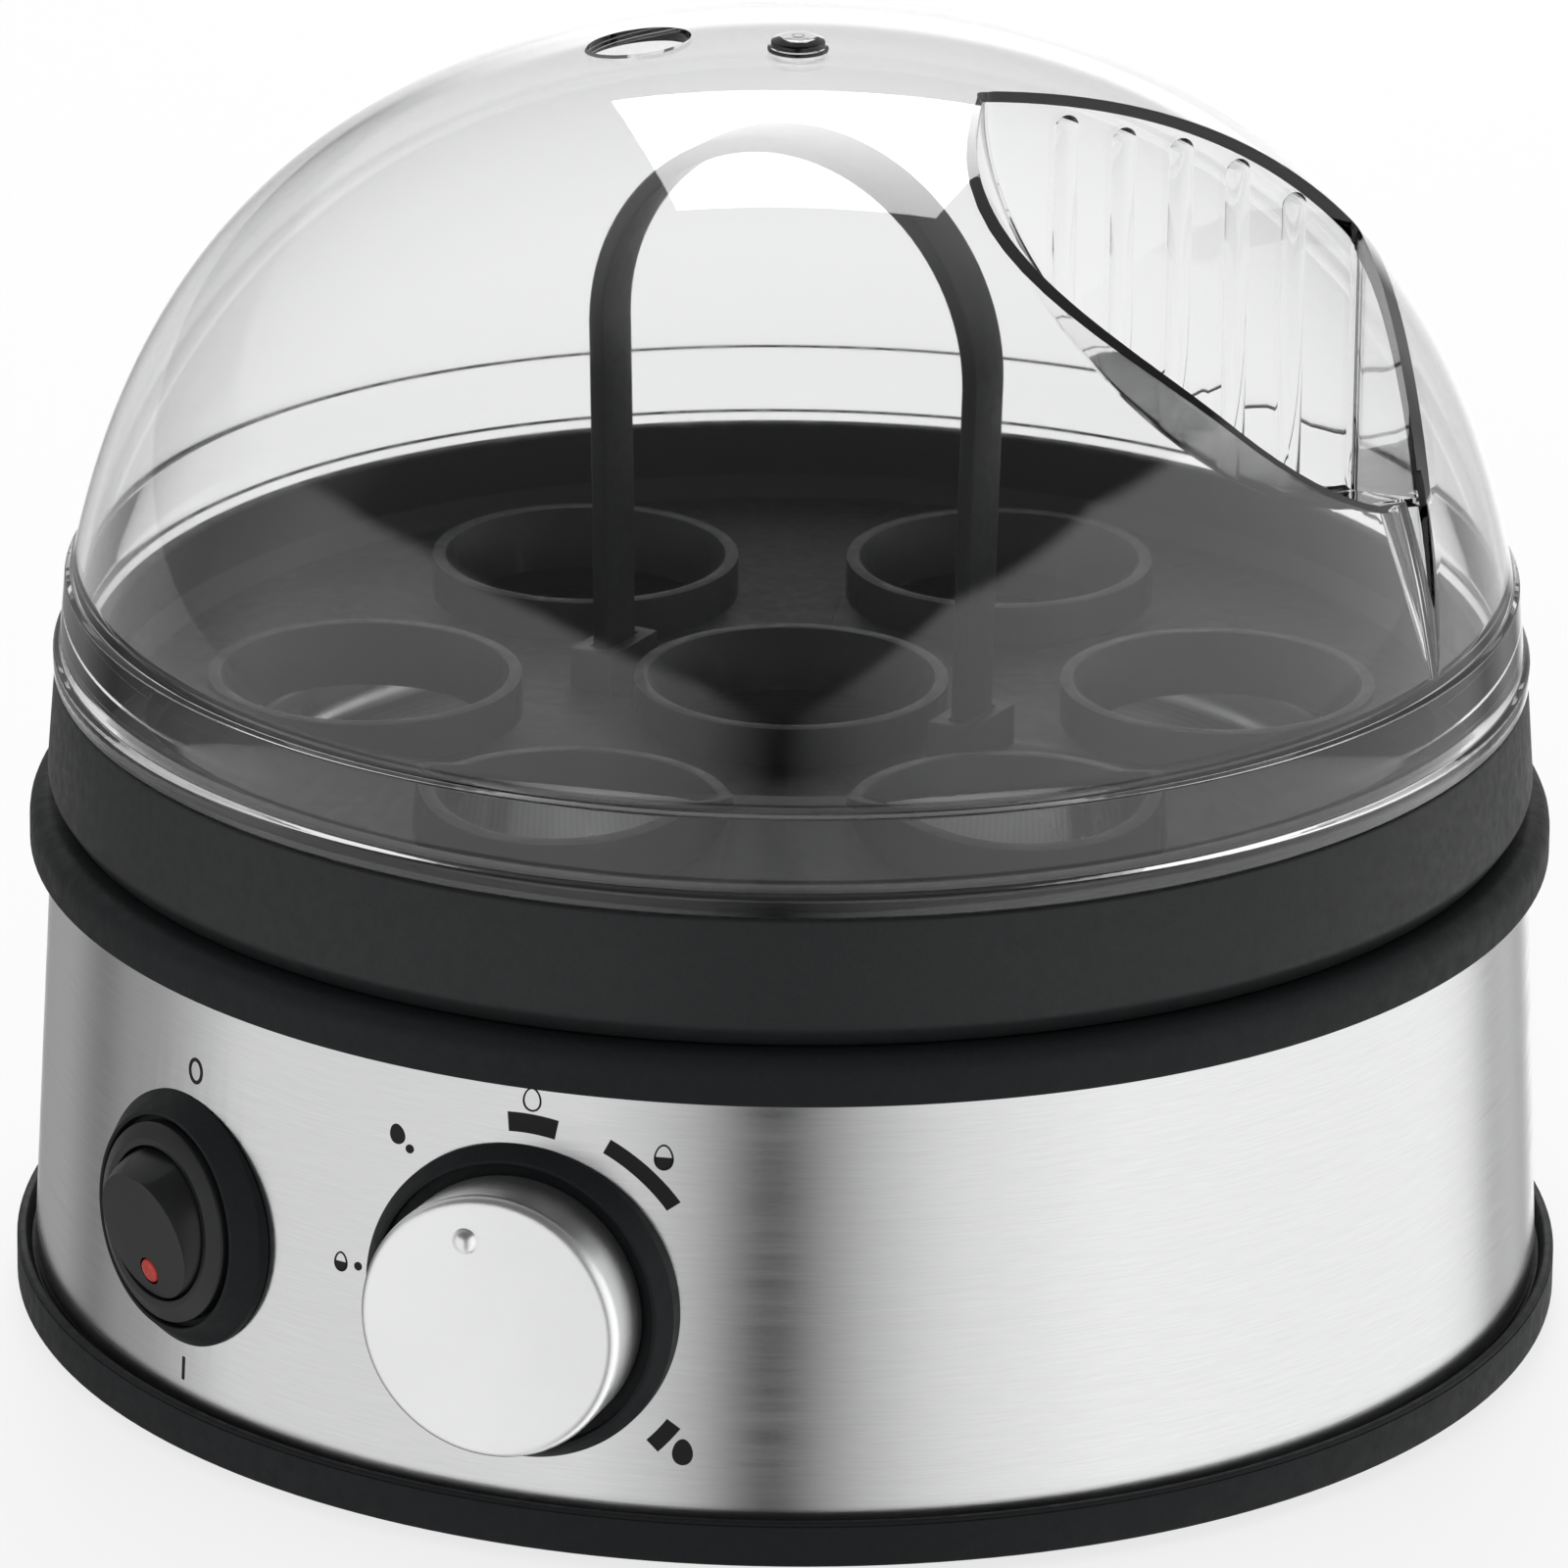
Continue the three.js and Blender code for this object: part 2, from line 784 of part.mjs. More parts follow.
function regulatorBody() {
  const outline = roundedRectangle(regulatorWidth, regulatorTall, regulatorCorner);
  const box = new THREE.ExtrudeGeometry(outline, {
    depth: regulatorDeep, bevelEnabled: false, curveSegments: arcSteps,
  }).translate(0, 0, regulatorRear);
  const blades = [-1, 1].map((side) => block(
    bladeThickness, bladeWidth, bladeLength + overrun, side * bladeSpread, 0, regulatorRear - bladeLength,
  ));
  const bush = rod(bushRadius, regulatorFront - overrun, bushTop);
  const bore = rod(shaftRadius + gap, -shaftInside - gap, bushTop + overrun);
  return cut(join(solid(box), bush, ...blades), bore);
}

function regulatorNut() {
  const foot = knobSeatHeight + gap;
  const top = foot + regulatorNutHeight;
  const hole = rod(bushRadius + gap, foot - overrun, top + overrun);
  return hexagon(regulatorNutAcross, foot, top).subtract(hole);
}

const knobFoot = knobSeatHeight + knobLift;
const knobFace = knobFoot + knobHeight;
const hubFoot = bushTop + gap;
const shaftTip = hubFoot + shaftInKnob;

function controlShaft() {
  return rod(shaftRadius, -shaftInside, shaftTip - gap);
}

function knob() {
  const cavityTop = knobFoot + knobCavity;
  const outline = [
    [0, knobFace],
    [knobFaceRadius - knobEdge, knobFace],
    ...quarterArc(knobFaceRadius - knobEdge, knobFace - knobEdge, knobEdge, quarterTurn, 0),
    [knobRadius, knobFoot],
    [knobRadius - knobWall, knobFoot],
    [knobRadius - knobWall, cavityTop],
    [knobHub, cavityTop],
    [knobHub, hubFoot],
    [0, hubFoot],
  ];
  const bore = rod(shaftRadius + gap, hubFoot - overrun, shaftTip);
  const ballRadius = (pointerRadius ** 2 + pointerRise ** 2) / (2 * pointerRise);
  const ball = solid(new THREE.SphereGeometry(ballRadius, roundSides, smallSides));
  const at = around(pointerPlace, knobTurn + quarterTurn, knobFace + pointerRise - ballRadius);
  return cut(join(turned(outline, roundSides * 2), moved(ball, at)), bore);
}

// Switch: surround on the band, flange with its barrel, rocker and red lens
const flangeUnder = switchSeatHeight + gap;
const flangeFace = flangeUnder + switchFlangeHeight;

function switchBezel() {
  const ring = turned([
    [0, -knobBezelRoot],
    [switchBezelRadius, -knobBezelRoot],
    [switchBezelRadius, switchBezelSkirt],
    [switchSeatRadius + switchBezelRim, switchBezelHeight],
    [switchSeatRadius, switchBezelHeight],
    [switchSeatRadius, switchSeatHeight],
    [0, switchSeatHeight],
  ], roundSides * 2);
  const hole = rod(barrelRadius + gap, -knobBezelRoot - overrun, switchBezelHeight + overrun);
  return cut(ring, hole, bandCore(switchFrame, gap));
}

const barrelRear = flangeUnder - barrelLength;
const pivotHeight = flangeFace - rockerPivotDepth;
const wellRadius = rockerOpening + rockerFlare;

function switchBody() {
  const body = turned([
    [0, barrelRear],
    [barrelRadius, barrelRear],
    [barrelRadius, flangeUnder],
    [switchFlangeRadius, flangeUnder],
    [switchFlangeRadius, flangeFace - switchFlangeDrop],
    [rockerOpening + switchFlangeFlat, flangeFace],
    [0, flangeFace],
  ], roundSides);
  const well = turned([
    [0, flangeFace - rockerWell - gap],
    [wellRadius, flangeFace - rockerWell - gap],
    [wellRadius, flangeFace - switchFlangeHeight],
    [rockerOpening, flangeFace],
    [rockerOpening, flangeFace + overrun],
    [0, flangeFace + overrun],
  ], roundSides);
  const reach = rockerOpening + trunnionReach + gap;
  const socket = lyingAcross(trunnionRadius + gap, 2 * reach);
  const blades = [-1, 0, 1].map((way) => block(
    bladeThickness, bladeWidth, bladeLength + overrun, way * switchBladeSpread, 0, barrelRear - bladeLength,
  ));
  return join(cut(body, well, socket), ...blades);
}

function lyingAcross(radius, length) {
  const cylinder = new THREE.CylinderGeometry(radius, radius, length, smallSides);
  return solid(cylinder.rotateZ(Math.PI / 2).translate(0, 0, pivotHeight));
}

// The rocker is part of a ball round its pivot, so it turns inside the round opening
const rockerBall = Math.hypot(rockerOpening - rockerPlay, rockerPivotDepth);

function rockerPlane(tilt, across, height) {
  const size = 4 * rockerBall;
  const space = new THREE.BoxGeometry(size, size, size).translate(0, 0, size / 2);
  return solid(space.rotateX(radians(tilt)).translate(0, across, height));
}

const faceFoot = rockerPlay - rockerOpening;
const faceFootHeight = flangeFace - rockerPlay;
const browHeight = faceFootHeight + (rockerBrow - faceFoot) * Math.tan(radians(rockerFaceTilt));

// One flat face rises from the opening's lower edge to a brow, and falls steeply behind it
function rockerBlank() {
  const ball = new THREE.SphereGeometry(rockerBall, roundSides, smallSides);
  return cut(
    solid(ball.translate(0, 0, pivotHeight)),
    rockerPlane(rockerFaceTilt, faceFoot, faceFootHeight),
    rockerPlane(-rockerBrowTilt, rockerBrow, browHeight),
    rockerPlane(180, 0, pivotHeight - rockerBack),
  );
}

function onFace(geometry) {
  geometry.translate(0, lensPlace, 0).rotateX(radians(rockerFaceTilt));
  return solid(geometry.translate(0, faceFoot, faceFootHeight));
}

function rocker() {
  const trunnions = lyingAcross(trunnionRadius, 2 * (rockerOpening + trunnionReach));
  const pocket = onFace(rodGeometry(lensRadius + gap, -lensDepth - gap, overrun, smallSides));
  return cut(join(rockerBlank(), trunnions), pocket);
}

function indicatorLens() {
  return onFace(rodGeometry(lensRadius, -lensDepth, lensProud, smallSides));
}

// Terminal block, gland and leads
const blockFoot = panFloor + gap;
const blockTop = blockFoot + blockHeight;
const wayPlaces = Array.from({ length: blockWays }, (_, way) => new THREE.Vector3(
  blockLength * ((way + 0.5) / blockWays - 0.5), blockPlace, blockTop - wayDepth,
));

function terminalBlock() {
  const body = block(blockLength, blockWidth, blockHeight, 0, blockPlace, blockFoot);
  return cut(body, ...wayPlaces.map((at) => moved(rod(wayRadius, 0, wayDepth + overrun, smallSides), at)));
}

function cordGland() {
  const inside = -shellWall - glandInside;
  return cut(turned([
    [glandBore, inside],
    [glandNeck, inside],
    [glandNeck, 2 * gap],
    [glandRadius, 2 * gap],
    [glandRadius, glandProud / 2],
    [glandNeck, glandProud],
    [glandBore, glandProud],
  ], roundSides), bandCore(glandFrame, gap).subtract(rod(glandNeck, 2 * inside, overrun)));
}

function bladeTip(frame, x, rear) {
  return new THREE.Vector3(x, 0, rear - bladeLength - gap).applyMatrix4(frame.matrix);
}

function inwards(point) {
  return new THREE.Vector3(-point.x, -point.y, 0).setLength(leadPull);
}

// A lead leaves each end square to it
function lead(from, leaving, to, arriving) {
  const path = new THREE.CubicBezierCurve3(from, from.clone().add(leaving), to.clone().add(arriving), to);
  return tube(path, leadRadius, leadSides, leadSteps);
}

const down = new THREE.Vector3(0, 0, -leadPull);
const up = new THREE.Vector3(0, 0, leadPull);
const wayMouths = wayPlaces.map((at) => at.clone().setZ(blockTop - leadEntry));
const pinTips = elementEnds.map((end) => around(elementCircle, end, pinFoot - gap));

function liveLead() {
  const tip = bladeTip(switchFrame, -switchBladeSpread, barrelRear);
  return lead(wayMouths[0], up, tip, inwards(tip));
}

function switchedLead() {
  const from = bladeTip(switchFrame, switchBladeSpread, barrelRear);
  const to = bladeTip(knobFrame, -bladeSpread, regulatorRear);
  return lead(from, inwards(from), to, inwards(to));
}

function heaterLead() {
  const from = bladeTip(knobFrame, bladeSpread, regulatorRear);
  return lead(from, inwards(from), pinTips[0], down);
}

function neutralLead() {
  return lead(wayMouths[2], up, pinTips[1], down);
}

// Egg tray: ring, floor, locating rib, lid ridge, six seats round a seventh, two handle sockets
const trayFoot = collarTop + gap;
const floorUnder = trayFloorTop - trayFloor;
const seatPlaces = [new THREE.Vector3(), ...spread(seatCount, seatCircle, 0)];
const socketWidth = handleWidth + 2 * (gap + handleSocketWall);
const socketDepth = handleThickness + 2 * (gap + handleSocketWall);

function eggTray() {
  const ridgeInner = ridgeRadius - ridgeWall;
  const innerFoot = trayFootRadius - trayWall;
  const ribInner = ribRadius - ribWall;
  let tray = turned([
    [0, floorUnder],
    [ribInner, floorUnder],
    [ribInner, flangeTop + gap],
    [ribRadius, flangeTop + gap],
    [ribRadius, floorUnder],
    [innerFoot, floorUnder],
    [innerFoot, trayFoot],
    [trayFootRadius, trayFoot],
    [trayBulgeRadius, trayFoot + trayBulgeRise],
    [trayTopRadius, trayTop],
    [ridgeRadius, trayTop],
    [ridgeRadius, trayTop + ridgeHeight],
    [ridgeInner, trayTop + ridgeHeight],
    [ridgeInner, trayFloorTop + trayFloor],
    [ridgeInner - trayFloor, trayFloorTop],
    [0, trayFloorTop],
  ], ringSides);
  const seatTop = trayFloorTop + seatRise;
  for (const at of seatPlaces) {
    tray = tray.add(moved(rod(seatTopRadius + seatWall, floorUnder, seatTop), at));
  }
  for (const at of seatPlaces) {
    const cone = rodGeometry(seatHoleRadius, floorUnder, seatTop, roundSides, seatTopRadius);
    tray = tray.subtract(moved(solid(cone), at));
    tray = tray.subtract(moved(rod(seatHoleRadius, floorUnder - overrun, floorUnder + overrun), at));
    tray = tray.subtract(moved(rod(seatTopRadius, seatTop, seatTop + overrun), at));
  }
  for (const side of [-1, 1]) {
    const x = side * handleFootSpan;
    const boss = block(socketDepth, socketWidth, trayFloor + handleSocketRise, x, 0, floorUnder);
    const slot = block(
      handleThickness + 2 * gap, handleWidth + 2 * gap, trayFloor + handleSocketRise + 2 * overrun,
      x, 0, floorUnder - overrun,
    );
    tray = tray.add(turnedBy(boss, handleAt)).subtract(turnedBy(slot, handleAt));
  }
  return tray;
}

// Carry handle: a flat strip bent to an arch, with barbed ends below the tray floor
function handleEdge(offset) {
  const archRadius = handleArchRadius - handleThickness / 2 + offset;
  const centre = handleTop - handleArchRadius;
  const arch = Array.from({ length: handleArchSteps + 1 }, (_, step) => {
    const angle = Math.PI * step / handleArchSteps;
    return [archRadius * Math.cos(angle), centre + archRadius * Math.sin(angle)];
  });
  const knee = handleFootSpan + (handleArchRadius - handleThickness / 2 - handleFootSpan) / 3 + offset;
  const foot = handleFootSpan + offset;
  const barbTop = floorUnder - gap;
  const reach = foot + Math.sign(offset) * handleBarb;
  const legs = (side) => [
    [side * foot, barbTop - handleBarbLength],
    [side * reach, barbTop],
    [side * foot, barbTop],
    [side * foot, trayFloorTop + handleSocketRise],
    [side * knee, handleLegKnee],
  ];
  return [...legs(1), ...arch, ...legs(-1).reverse()];
}

function trayHandle() {
  const outer = handleEdge(handleThickness / 2);
  const inner = handleEdge(-handleThickness / 2);
  const strip = prism([...outer, ...inner.reverse()], handleWidth).translate(0, 0, -handleWidth / 2);
  return turnedBy(solid(strip.rotateX(Math.PI / 2)), handleAt);
}

// Lid
const lidFoot = trayTop + gap;
const lidInnerRadius = ridgeRadius + gap;

function domeCurve(inset) {
  const footRadius = lidDomeFootRadius - inset;
  const top = lidTop - inset;
  const curve = new THREE.CubicBezierCurve(
    new THREE.Vector2(footRadius, lidSkirtTop + lidShoulder),
    new THREE.Vector2(footRadius - lidFootLean * lidFootHandle, lidSkirtTop + lidShoulder + lidFootHandle),
    new THREE.Vector2(lidTopHandle, top),
    new THREE.Vector2(0, top),
  );
  return curve.getPoints(lidDomeSteps).map((point) => [Math.max(point.x, 0), point.y]);
}

function lidOuter() {
  return turned([
    [0, lidFoot],
    [lidRimRadius, lidFoot],
    [lidRimRadius, lidFoot + lidRimHeight],
    [lidRimRadius - lidShoulder, lidFoot + lidRimHeight + lidShoulder],
    [lidSkirtTopRadius, lidSkirtTop],
    ...domeCurve(0),
  ], ringSides);
}

function lidInner() {
  return turned([
    [0, lidFoot - overrun],
    [lidInnerRadius, lidFoot - overrun],
    [lidInnerRadius, lidFoot + lidRimHeight],
    ...domeCurve(lidWall),
  ], ringSides);
}

// Recess space: its outline lies in the fluted wall's plane and is drawn out to the mouth at a slope
function recessOutline(grow) {
  const floor = gripFloor - grow;
  const left = gripLeft - grow;
  const scoop = new THREE.CubicBezierCurve(
    new THREE.Vector2(left, gripLeftFoot - grow),
    new THREE.Vector2(left + gripLeftPullRun, gripLeftFoot - gripLeftPull - grow),
    new THREE.Vector2(gripRight - gripFloorRun - gripFloorPull, floor + gripFloorPullRise),
    new THREE.Vector2(gripRight - gripFloorRun, floor),
  );
  return [
    [left, gripCeiling],
    ...scoop.getPoints(gripCurveSteps).map((point) => [point.x, point.y]),
    [gripRight + grow, floor],
    [gripRight + grow, gripCeiling],
  ];
}

function recessPlace() {
  const side = around(1, gripWallAt + quarterTurn);
  const out = around(1, gripWallAt);
  const matrix = new THREE.Matrix4().makeBasis(side, new THREE.Vector3(0, 0, 1), out);
  return matrix.setPosition(out.clone().multiplyScalar(gripWallDistance));
}

function recessSpace(grow) {
  const shape = new THREE.Shape(recessOutline(grow).map(([x, y]) => new THREE.Vector2(x, y)));
  const space = new THREE.ExtrudeGeometry(shape, {
    depth: gripReach + grow, steps: gripMouthSteps, bevelEnabled: false,
  }).translate(0, 0, -grow);
  const position = space.getAttribute("position");
  for (let i = 0; i < position.count; i += 1) {
    const out = position.getZ(i);
    const nearLeft = Math.max(0, 1 - (position.getX(i) - gripLeft) / gripFlareWidth);
    const slope = gripSideSlope + gripFlareSlope * nearLeft * nearLeft;
    position.setX(i, position.getX(i) - slope * Math.max(out, 0));
    position.setY(i, position.getY(i) + gripFloorSlope * Math.max(out, 0));
  }
  return solid(space.applyMatrix4(recessPlace()));
}

function domeRadius(height) {
  const curve = domeCurve(0);
  const above = curve.findIndex((point) => point[1] >= height);
  const [low, high] = [curve[above - 1], curve[above]];
  return low[0] + (high[0] - low[0]) * (height - low[1]) / (high[1] - low[1]);
}

// Runout: a slim cone that carries the recess down the dome to a point
function runout(grow) {
  const tip = around(domeRadius(runoutTip + overrun), runoutTipAt, runoutTip);
  const head = around(domeRadius(runoutTop), runoutHeadAt, runoutTop);
  const along = head.clone().sub(tip);
  const length = along.length() + grow;
  const cone = new THREE.CylinderGeometry(runoutRadius + grow, grow + gap, length, smallSides)
    .translate(0, length / 2 - grow, 0);
  const turn = new THREE.Quaternion().setFromUnitVectors(new THREE.Vector3(0, 1, 0), along.normalize());
  return solid(cone.applyQuaternion(turn).translate(tip.x, tip.y, tip.z));
}

function flute(item) {
  const along = fluteFirst + item * flutePitch;
  const fromAxis = Math.hypot(gripWallDistance, along);
  const top = domeHeight(fromAxis) - fluteTopDrop - fluteRadius;
  const shaft = rodGeometry(fluteRadius, gripFloor - lidWall, top, smallSides);
  const cap = new THREE.SphereGeometry(fluteRadius, smallSides, smallSides / 2).rotateX(Math.PI / 2)
    .translate(0, 0, top);
  const at = around(gripWallDistance + fluteProud - fluteRadius, gripWallAt)
    .add(around(along, gripWallAt + quarterTurn));
  return moved(join(solid(shaft), solid(cap)), at);
}

function domeHeight(radius) {
  const curve = domeCurve(0);
  const inside = curve.findIndex((point) => point[0] <= radius);
  const [low, high] = [curve[inside - 1], curve[inside]];
  return low[1] + (high[1] - low[1]) * (low[0] - radius) / (low[0] - high[0]);
}

function lid() {
  const recess = recessSpace(0).add(runout(0));
  const recessShell = recessSpace(lidWall).add(runout(lidWall));
  const flutes = Array.from({ length: fluteCount }, (_, item) => flute(item));
  const fluteZone = recessSpace(lidWall / 2);
  const fluteRidges = flutes.map((ridge) => ridge.intersect(fluteZone));
  const outer = lidOuter();
  const wall = cut(outer.subtract(recess), lidInner().subtract(recessShell));
  const nub = turned([
    [0, lidTop - lidWall / 2],
    [nubRadius, lidTop - lidWall / 2],
    [nubRadius, lidTop + nubRise / 2],
    [nubTipRadius + nubRise / 2, lidTop + nubRise],
    [nubTipRadius, lidTop + nubTipRise],
    [nubPinhole, lidTop + nubTipRise],
    [nubPinhole, lidTop + nubRise],
    [0, lidTop + nubRise],
  ], roundSides);
  const ventAxis = around(ventPlace, ventAt);
  const vent = moved(rod(ventRadius, lidTop - ventDrill, lidTop + overrun), ventAxis);
  return cut(join(wall, ...fluteRidges, nub), vent);
}

// Assembly
place("base_pan", basePan(), finish.grainedPlastic());
footPlaces.forEach((at, item) => {
  place(`foot_${item + 1}`, moved(rubberFoot(), at), finish.rubber());
});
screwPlaces.forEach((at, item) => {
  place(`pan_screw_${item + 1}`, moved(panScrew(), at), finish.plainSteel());
});
place("steel_shell", steelShell(), finish.brushedSteel());
place("collar", collar(), finish.grainedPlastic());
place("plate_gasket", plateGasket(), finish.silicone());
place("heating_plate", heatingPlate(), finish.plateSteel());
place("heating_element", heatingElement(), finish.plainSteel());
place("plate_bracket", plateBracket(), finish.plainSteel());
place("earth_tag", earthTag(), finish.brass());
place("plate_nut", plateNut(), finish.brass());
place("limit_thermostat", limitThermostat(), finish.ceramic());
place("thermal_fuse", thermalFuse(), finish.ceramic());
place("fuse_clip", fuseClip(), finish.plainSteel());
place("terminal_block", terminalBlock(), finish.ceramic());
place("live_lead", liveLead(), finish.brownLead());
place("switched_lead", switchedLead(), finish.brownLead());
place("heater_lead", heaterLead(), finish.brownLead());
place("neutral_lead", neutralLead(), finish.blueLead());
cooker.add(knobFrame, switchFrame, glandFrame);
place("cord_gland", cordGland(), finish.rubber(), glandFrame);
place("knob_bezel", knobBezel(), finish.grainedPlastic(), knobFrame);
place("regulator_body", regulatorBody(), finish.phenolic(), knobFrame);
place("regulator_nut", regulatorNut(), finish.brass(), knobFrame);
place("control_shaft", controlShaft(), finish.brass(), knobFrame);
place("knob", knob(), finish.satinSilver(), knobFrame);
place("switch_bezel", switchBezel(), finish.grainedPlastic(), switchFrame);
place("switch_body", switchBody(), finish.glossBlack(), switchFrame);
place("rocker", rocker(), finish.glossBlack(), switchFrame);
place("indicator_lens", indicatorLens(), finish.redLens(), switchFrame);
place("egg_tray", eggTray(), finish.trayPlastic());
place("tray_handle", trayHandle(), finish.trayPlastic());
place("lid", lid(), finish.clear());

export default cooker;
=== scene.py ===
"""Looks of an electric egg cooker: steel-banded base, egg tray with an arch handle, clear dome lid.

Metres, +Z up, front towards -Y. The origin is the centre of the base pan's flat underside.
"""
import math

import bpy
from bpy.props import FloatProperty, FloatVectorProperty, IntProperty, PointerProperty
from mathutils import Matrix, Vector


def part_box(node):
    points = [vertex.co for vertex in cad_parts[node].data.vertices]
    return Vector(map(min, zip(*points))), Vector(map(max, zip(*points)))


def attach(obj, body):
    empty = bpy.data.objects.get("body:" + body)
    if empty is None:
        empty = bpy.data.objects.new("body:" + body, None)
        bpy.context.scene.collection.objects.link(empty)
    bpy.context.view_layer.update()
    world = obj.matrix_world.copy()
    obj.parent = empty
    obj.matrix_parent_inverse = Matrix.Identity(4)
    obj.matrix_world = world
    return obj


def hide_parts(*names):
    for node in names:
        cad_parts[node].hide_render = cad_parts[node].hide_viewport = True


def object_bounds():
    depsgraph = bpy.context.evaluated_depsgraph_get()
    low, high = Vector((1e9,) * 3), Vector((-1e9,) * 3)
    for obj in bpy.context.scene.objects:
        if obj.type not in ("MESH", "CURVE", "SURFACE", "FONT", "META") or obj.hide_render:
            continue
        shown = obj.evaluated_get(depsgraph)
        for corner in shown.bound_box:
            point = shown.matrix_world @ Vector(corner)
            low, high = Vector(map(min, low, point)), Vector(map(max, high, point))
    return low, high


bl_info = {
    "name": "Egg Cooker Looks",
    "version": (1, 0, 0),
    "blender": (4, 5, 0),
    "location": "View3D > Sidebar > Egg Cooker",
    "description": "Models and finishes the pieces of an electric egg cooker on its fixed frame",
    "category": "Object",
}

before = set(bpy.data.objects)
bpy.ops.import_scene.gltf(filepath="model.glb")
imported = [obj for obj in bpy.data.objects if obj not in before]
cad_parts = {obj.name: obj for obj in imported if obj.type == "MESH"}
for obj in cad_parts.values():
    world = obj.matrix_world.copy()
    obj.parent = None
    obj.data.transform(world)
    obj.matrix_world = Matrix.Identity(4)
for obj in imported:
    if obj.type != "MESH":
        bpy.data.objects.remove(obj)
cad_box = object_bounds()

MM = 0.001
UP = Vector((0, 0, 1))


def size(name, description, default):
    return FloatProperty(name=name, description=description, default=default, unit="LENGTH", precision=5)


def turn_angle(name, description, default):
    return FloatProperty(name=name, description=description, default=math.radians(default), subtype="ANGLE")


def count(name, description, default):
    return IntProperty(name=name, description=description, default=default, min=3)


def colour(name, description, default):
    return FloatVectorProperty(name=name, description=description, default=default, subtype="COLOR",
                               size=3, min=0.0, max=1.0)


class CookerSizes(bpy.types.PropertyGroup):
    """Sizes that a user would change"""
    ring_facets: count("Ring facets", "Facets round the large turned pieces", 192)
    small_facets: count("Small facets", "Facets round knobs, bezels and seats", 72)
    tiny_facets: count("Tiny facets", "Facets round feet, screws, bores and the pointer", 36)
    base_radius: size("Base radius", "Outer radius of the base ring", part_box("base_pan")[1].x)
    base_height: size("Base height", "Height of the base ring", 0.0056)
    band_foot: size("Band foot radius", "Outer radius of the steel band at its foot", 0.0927)
    band_head: size("Band head radius", "Outer radius of the steel band at the collar", 0.0903)
    band_wall: size("Band wall", "Thickness of the steel band", 0.0006)
    lip_radius: size("Collar radius", "Outer radius of the collar's lip", 0.0929)
    lip_foot: size("Collar foot", "Height where the collar meets the band", 0.0571)
    collar_top: size("Collar top", "Height of the collar's upper face", 0.063)
    tray_top: size("Tray top", "Height of the tray ring's upper face", 0.0791)
    tray_floor: size("Tray floor", "Height of the tray's floor", 0.072)
    seat_circle: size("Seat circle", "Radius of the circle of six seats", 0.052)
    handle_width: size("Handle width", "Width of the carry handle's strip", 0.0072)
    handle_thickness: size("Handle thickness", "Thickness of the carry handle's strip", 0.002)
    lid_top: size("Lid top", "Height of the dome's outer face on the axis", 0.1568)
    lid_wall: size("Lid wall", "Thickness of the clear lid", 0.0017)
    recess_wall: size("Recess wall", "Thickness of the lid's wall round the grip recess", 0.0012)
    knob_at: turn_angle("Knob place", "Where the knob sits round the band, from +X", -109.8)
    knob_height: size("Knob axis", "Height of the knob's axis at the band", 0.0299)
    switch_at: turn_angle("Switch place", "Where the switch sits round the band, from +X", -141.6)
    switch_height: size("Switch axis", "Height of the switch's axis at the band", 0.028)
    knob_radius: size("Knob radius", "Radius of the knob at its foot", 0.0159)
    knob_turn: turn_angle("Pointer place", "Turn of the knob's raised pointer from straight up", 16)


class CookerFinishes(bpy.types.PropertyGroup):
    """Colours that a user would change"""
    grained_plastic: colour("Grained plastic", "Base ring, collar and surrounds", (0.011, 0.012, 0.013))
    tray_plastic: colour("Tray plastic", "Egg tray and carry handle", (0.017, 0.018, 0.019))
    brushed_steel: colour("Brushed steel", "Steel band", (0.72, 0.722, 0.725))
    plate_steel: colour("Plate steel", "Heating plate", (0.60, 0.605, 0.61))
    satin_silver: colour("Satin silver", "Knob", (0.90, 0.903, 0.906))
    switch_black: colour("Switch black", "Switch body and rocker", (0.009, 0.0095, 0.01))
    red_lens: colour("Red lens", "Lens in the rocker", (0.42, 0.02, 0.012))
    ink: colour("Printing ink", "Marks printed on the band", (0.012, 0.012, 0.013))
    floor: colour("Floor", "Floor and backdrop", (0.8, 0.8, 0.8))


def sizes():
    return bpy.context.scene.cooker_sizes


def finishes():
    return bpy.context.scene.cooker_finishes


# Modelling: every new mesh starts from a primitive and is shaped in edit mode

def start_point(name):
    """A new mesh with one vertex at the origin, open in edit mode"""
    bpy.ops.object.select_all(action="DESELECT")
    bpy.ops.mesh.primitive_plane_add(size=MM)
    piece = bpy.context.object
    piece.name = name
    piece.data.name = name
    bpy.ops.object.mode_set(mode="EDIT")
    bpy.ops.mesh.select_all(action="SELECT")
    bpy.ops.mesh.merge(type="CENTER")
    return piece


def push_out(step):
    """Extrudes what is selected by a step"""
    bpy.ops.mesh.extrude_region_move(TRANSFORM_OT_translate={"value": step})


def draw_chain(points):
    """Moves the one selected vertex to the first point and extrudes it through the others"""
    bpy.ops.transform.translate(value=points[0])
    for before, after in zip(points, points[1:]):
        push_out(Vector(after) - Vector(before))


def tidy_mesh():
    bpy.ops.mesh.select_all(action="SELECT")
    bpy.ops.mesh.remove_doubles(threshold=MM / 1000)
    bpy.ops.mesh.normals_make_consistent(inside=False)
    bpy.ops.object.mode_set(mode="OBJECT")


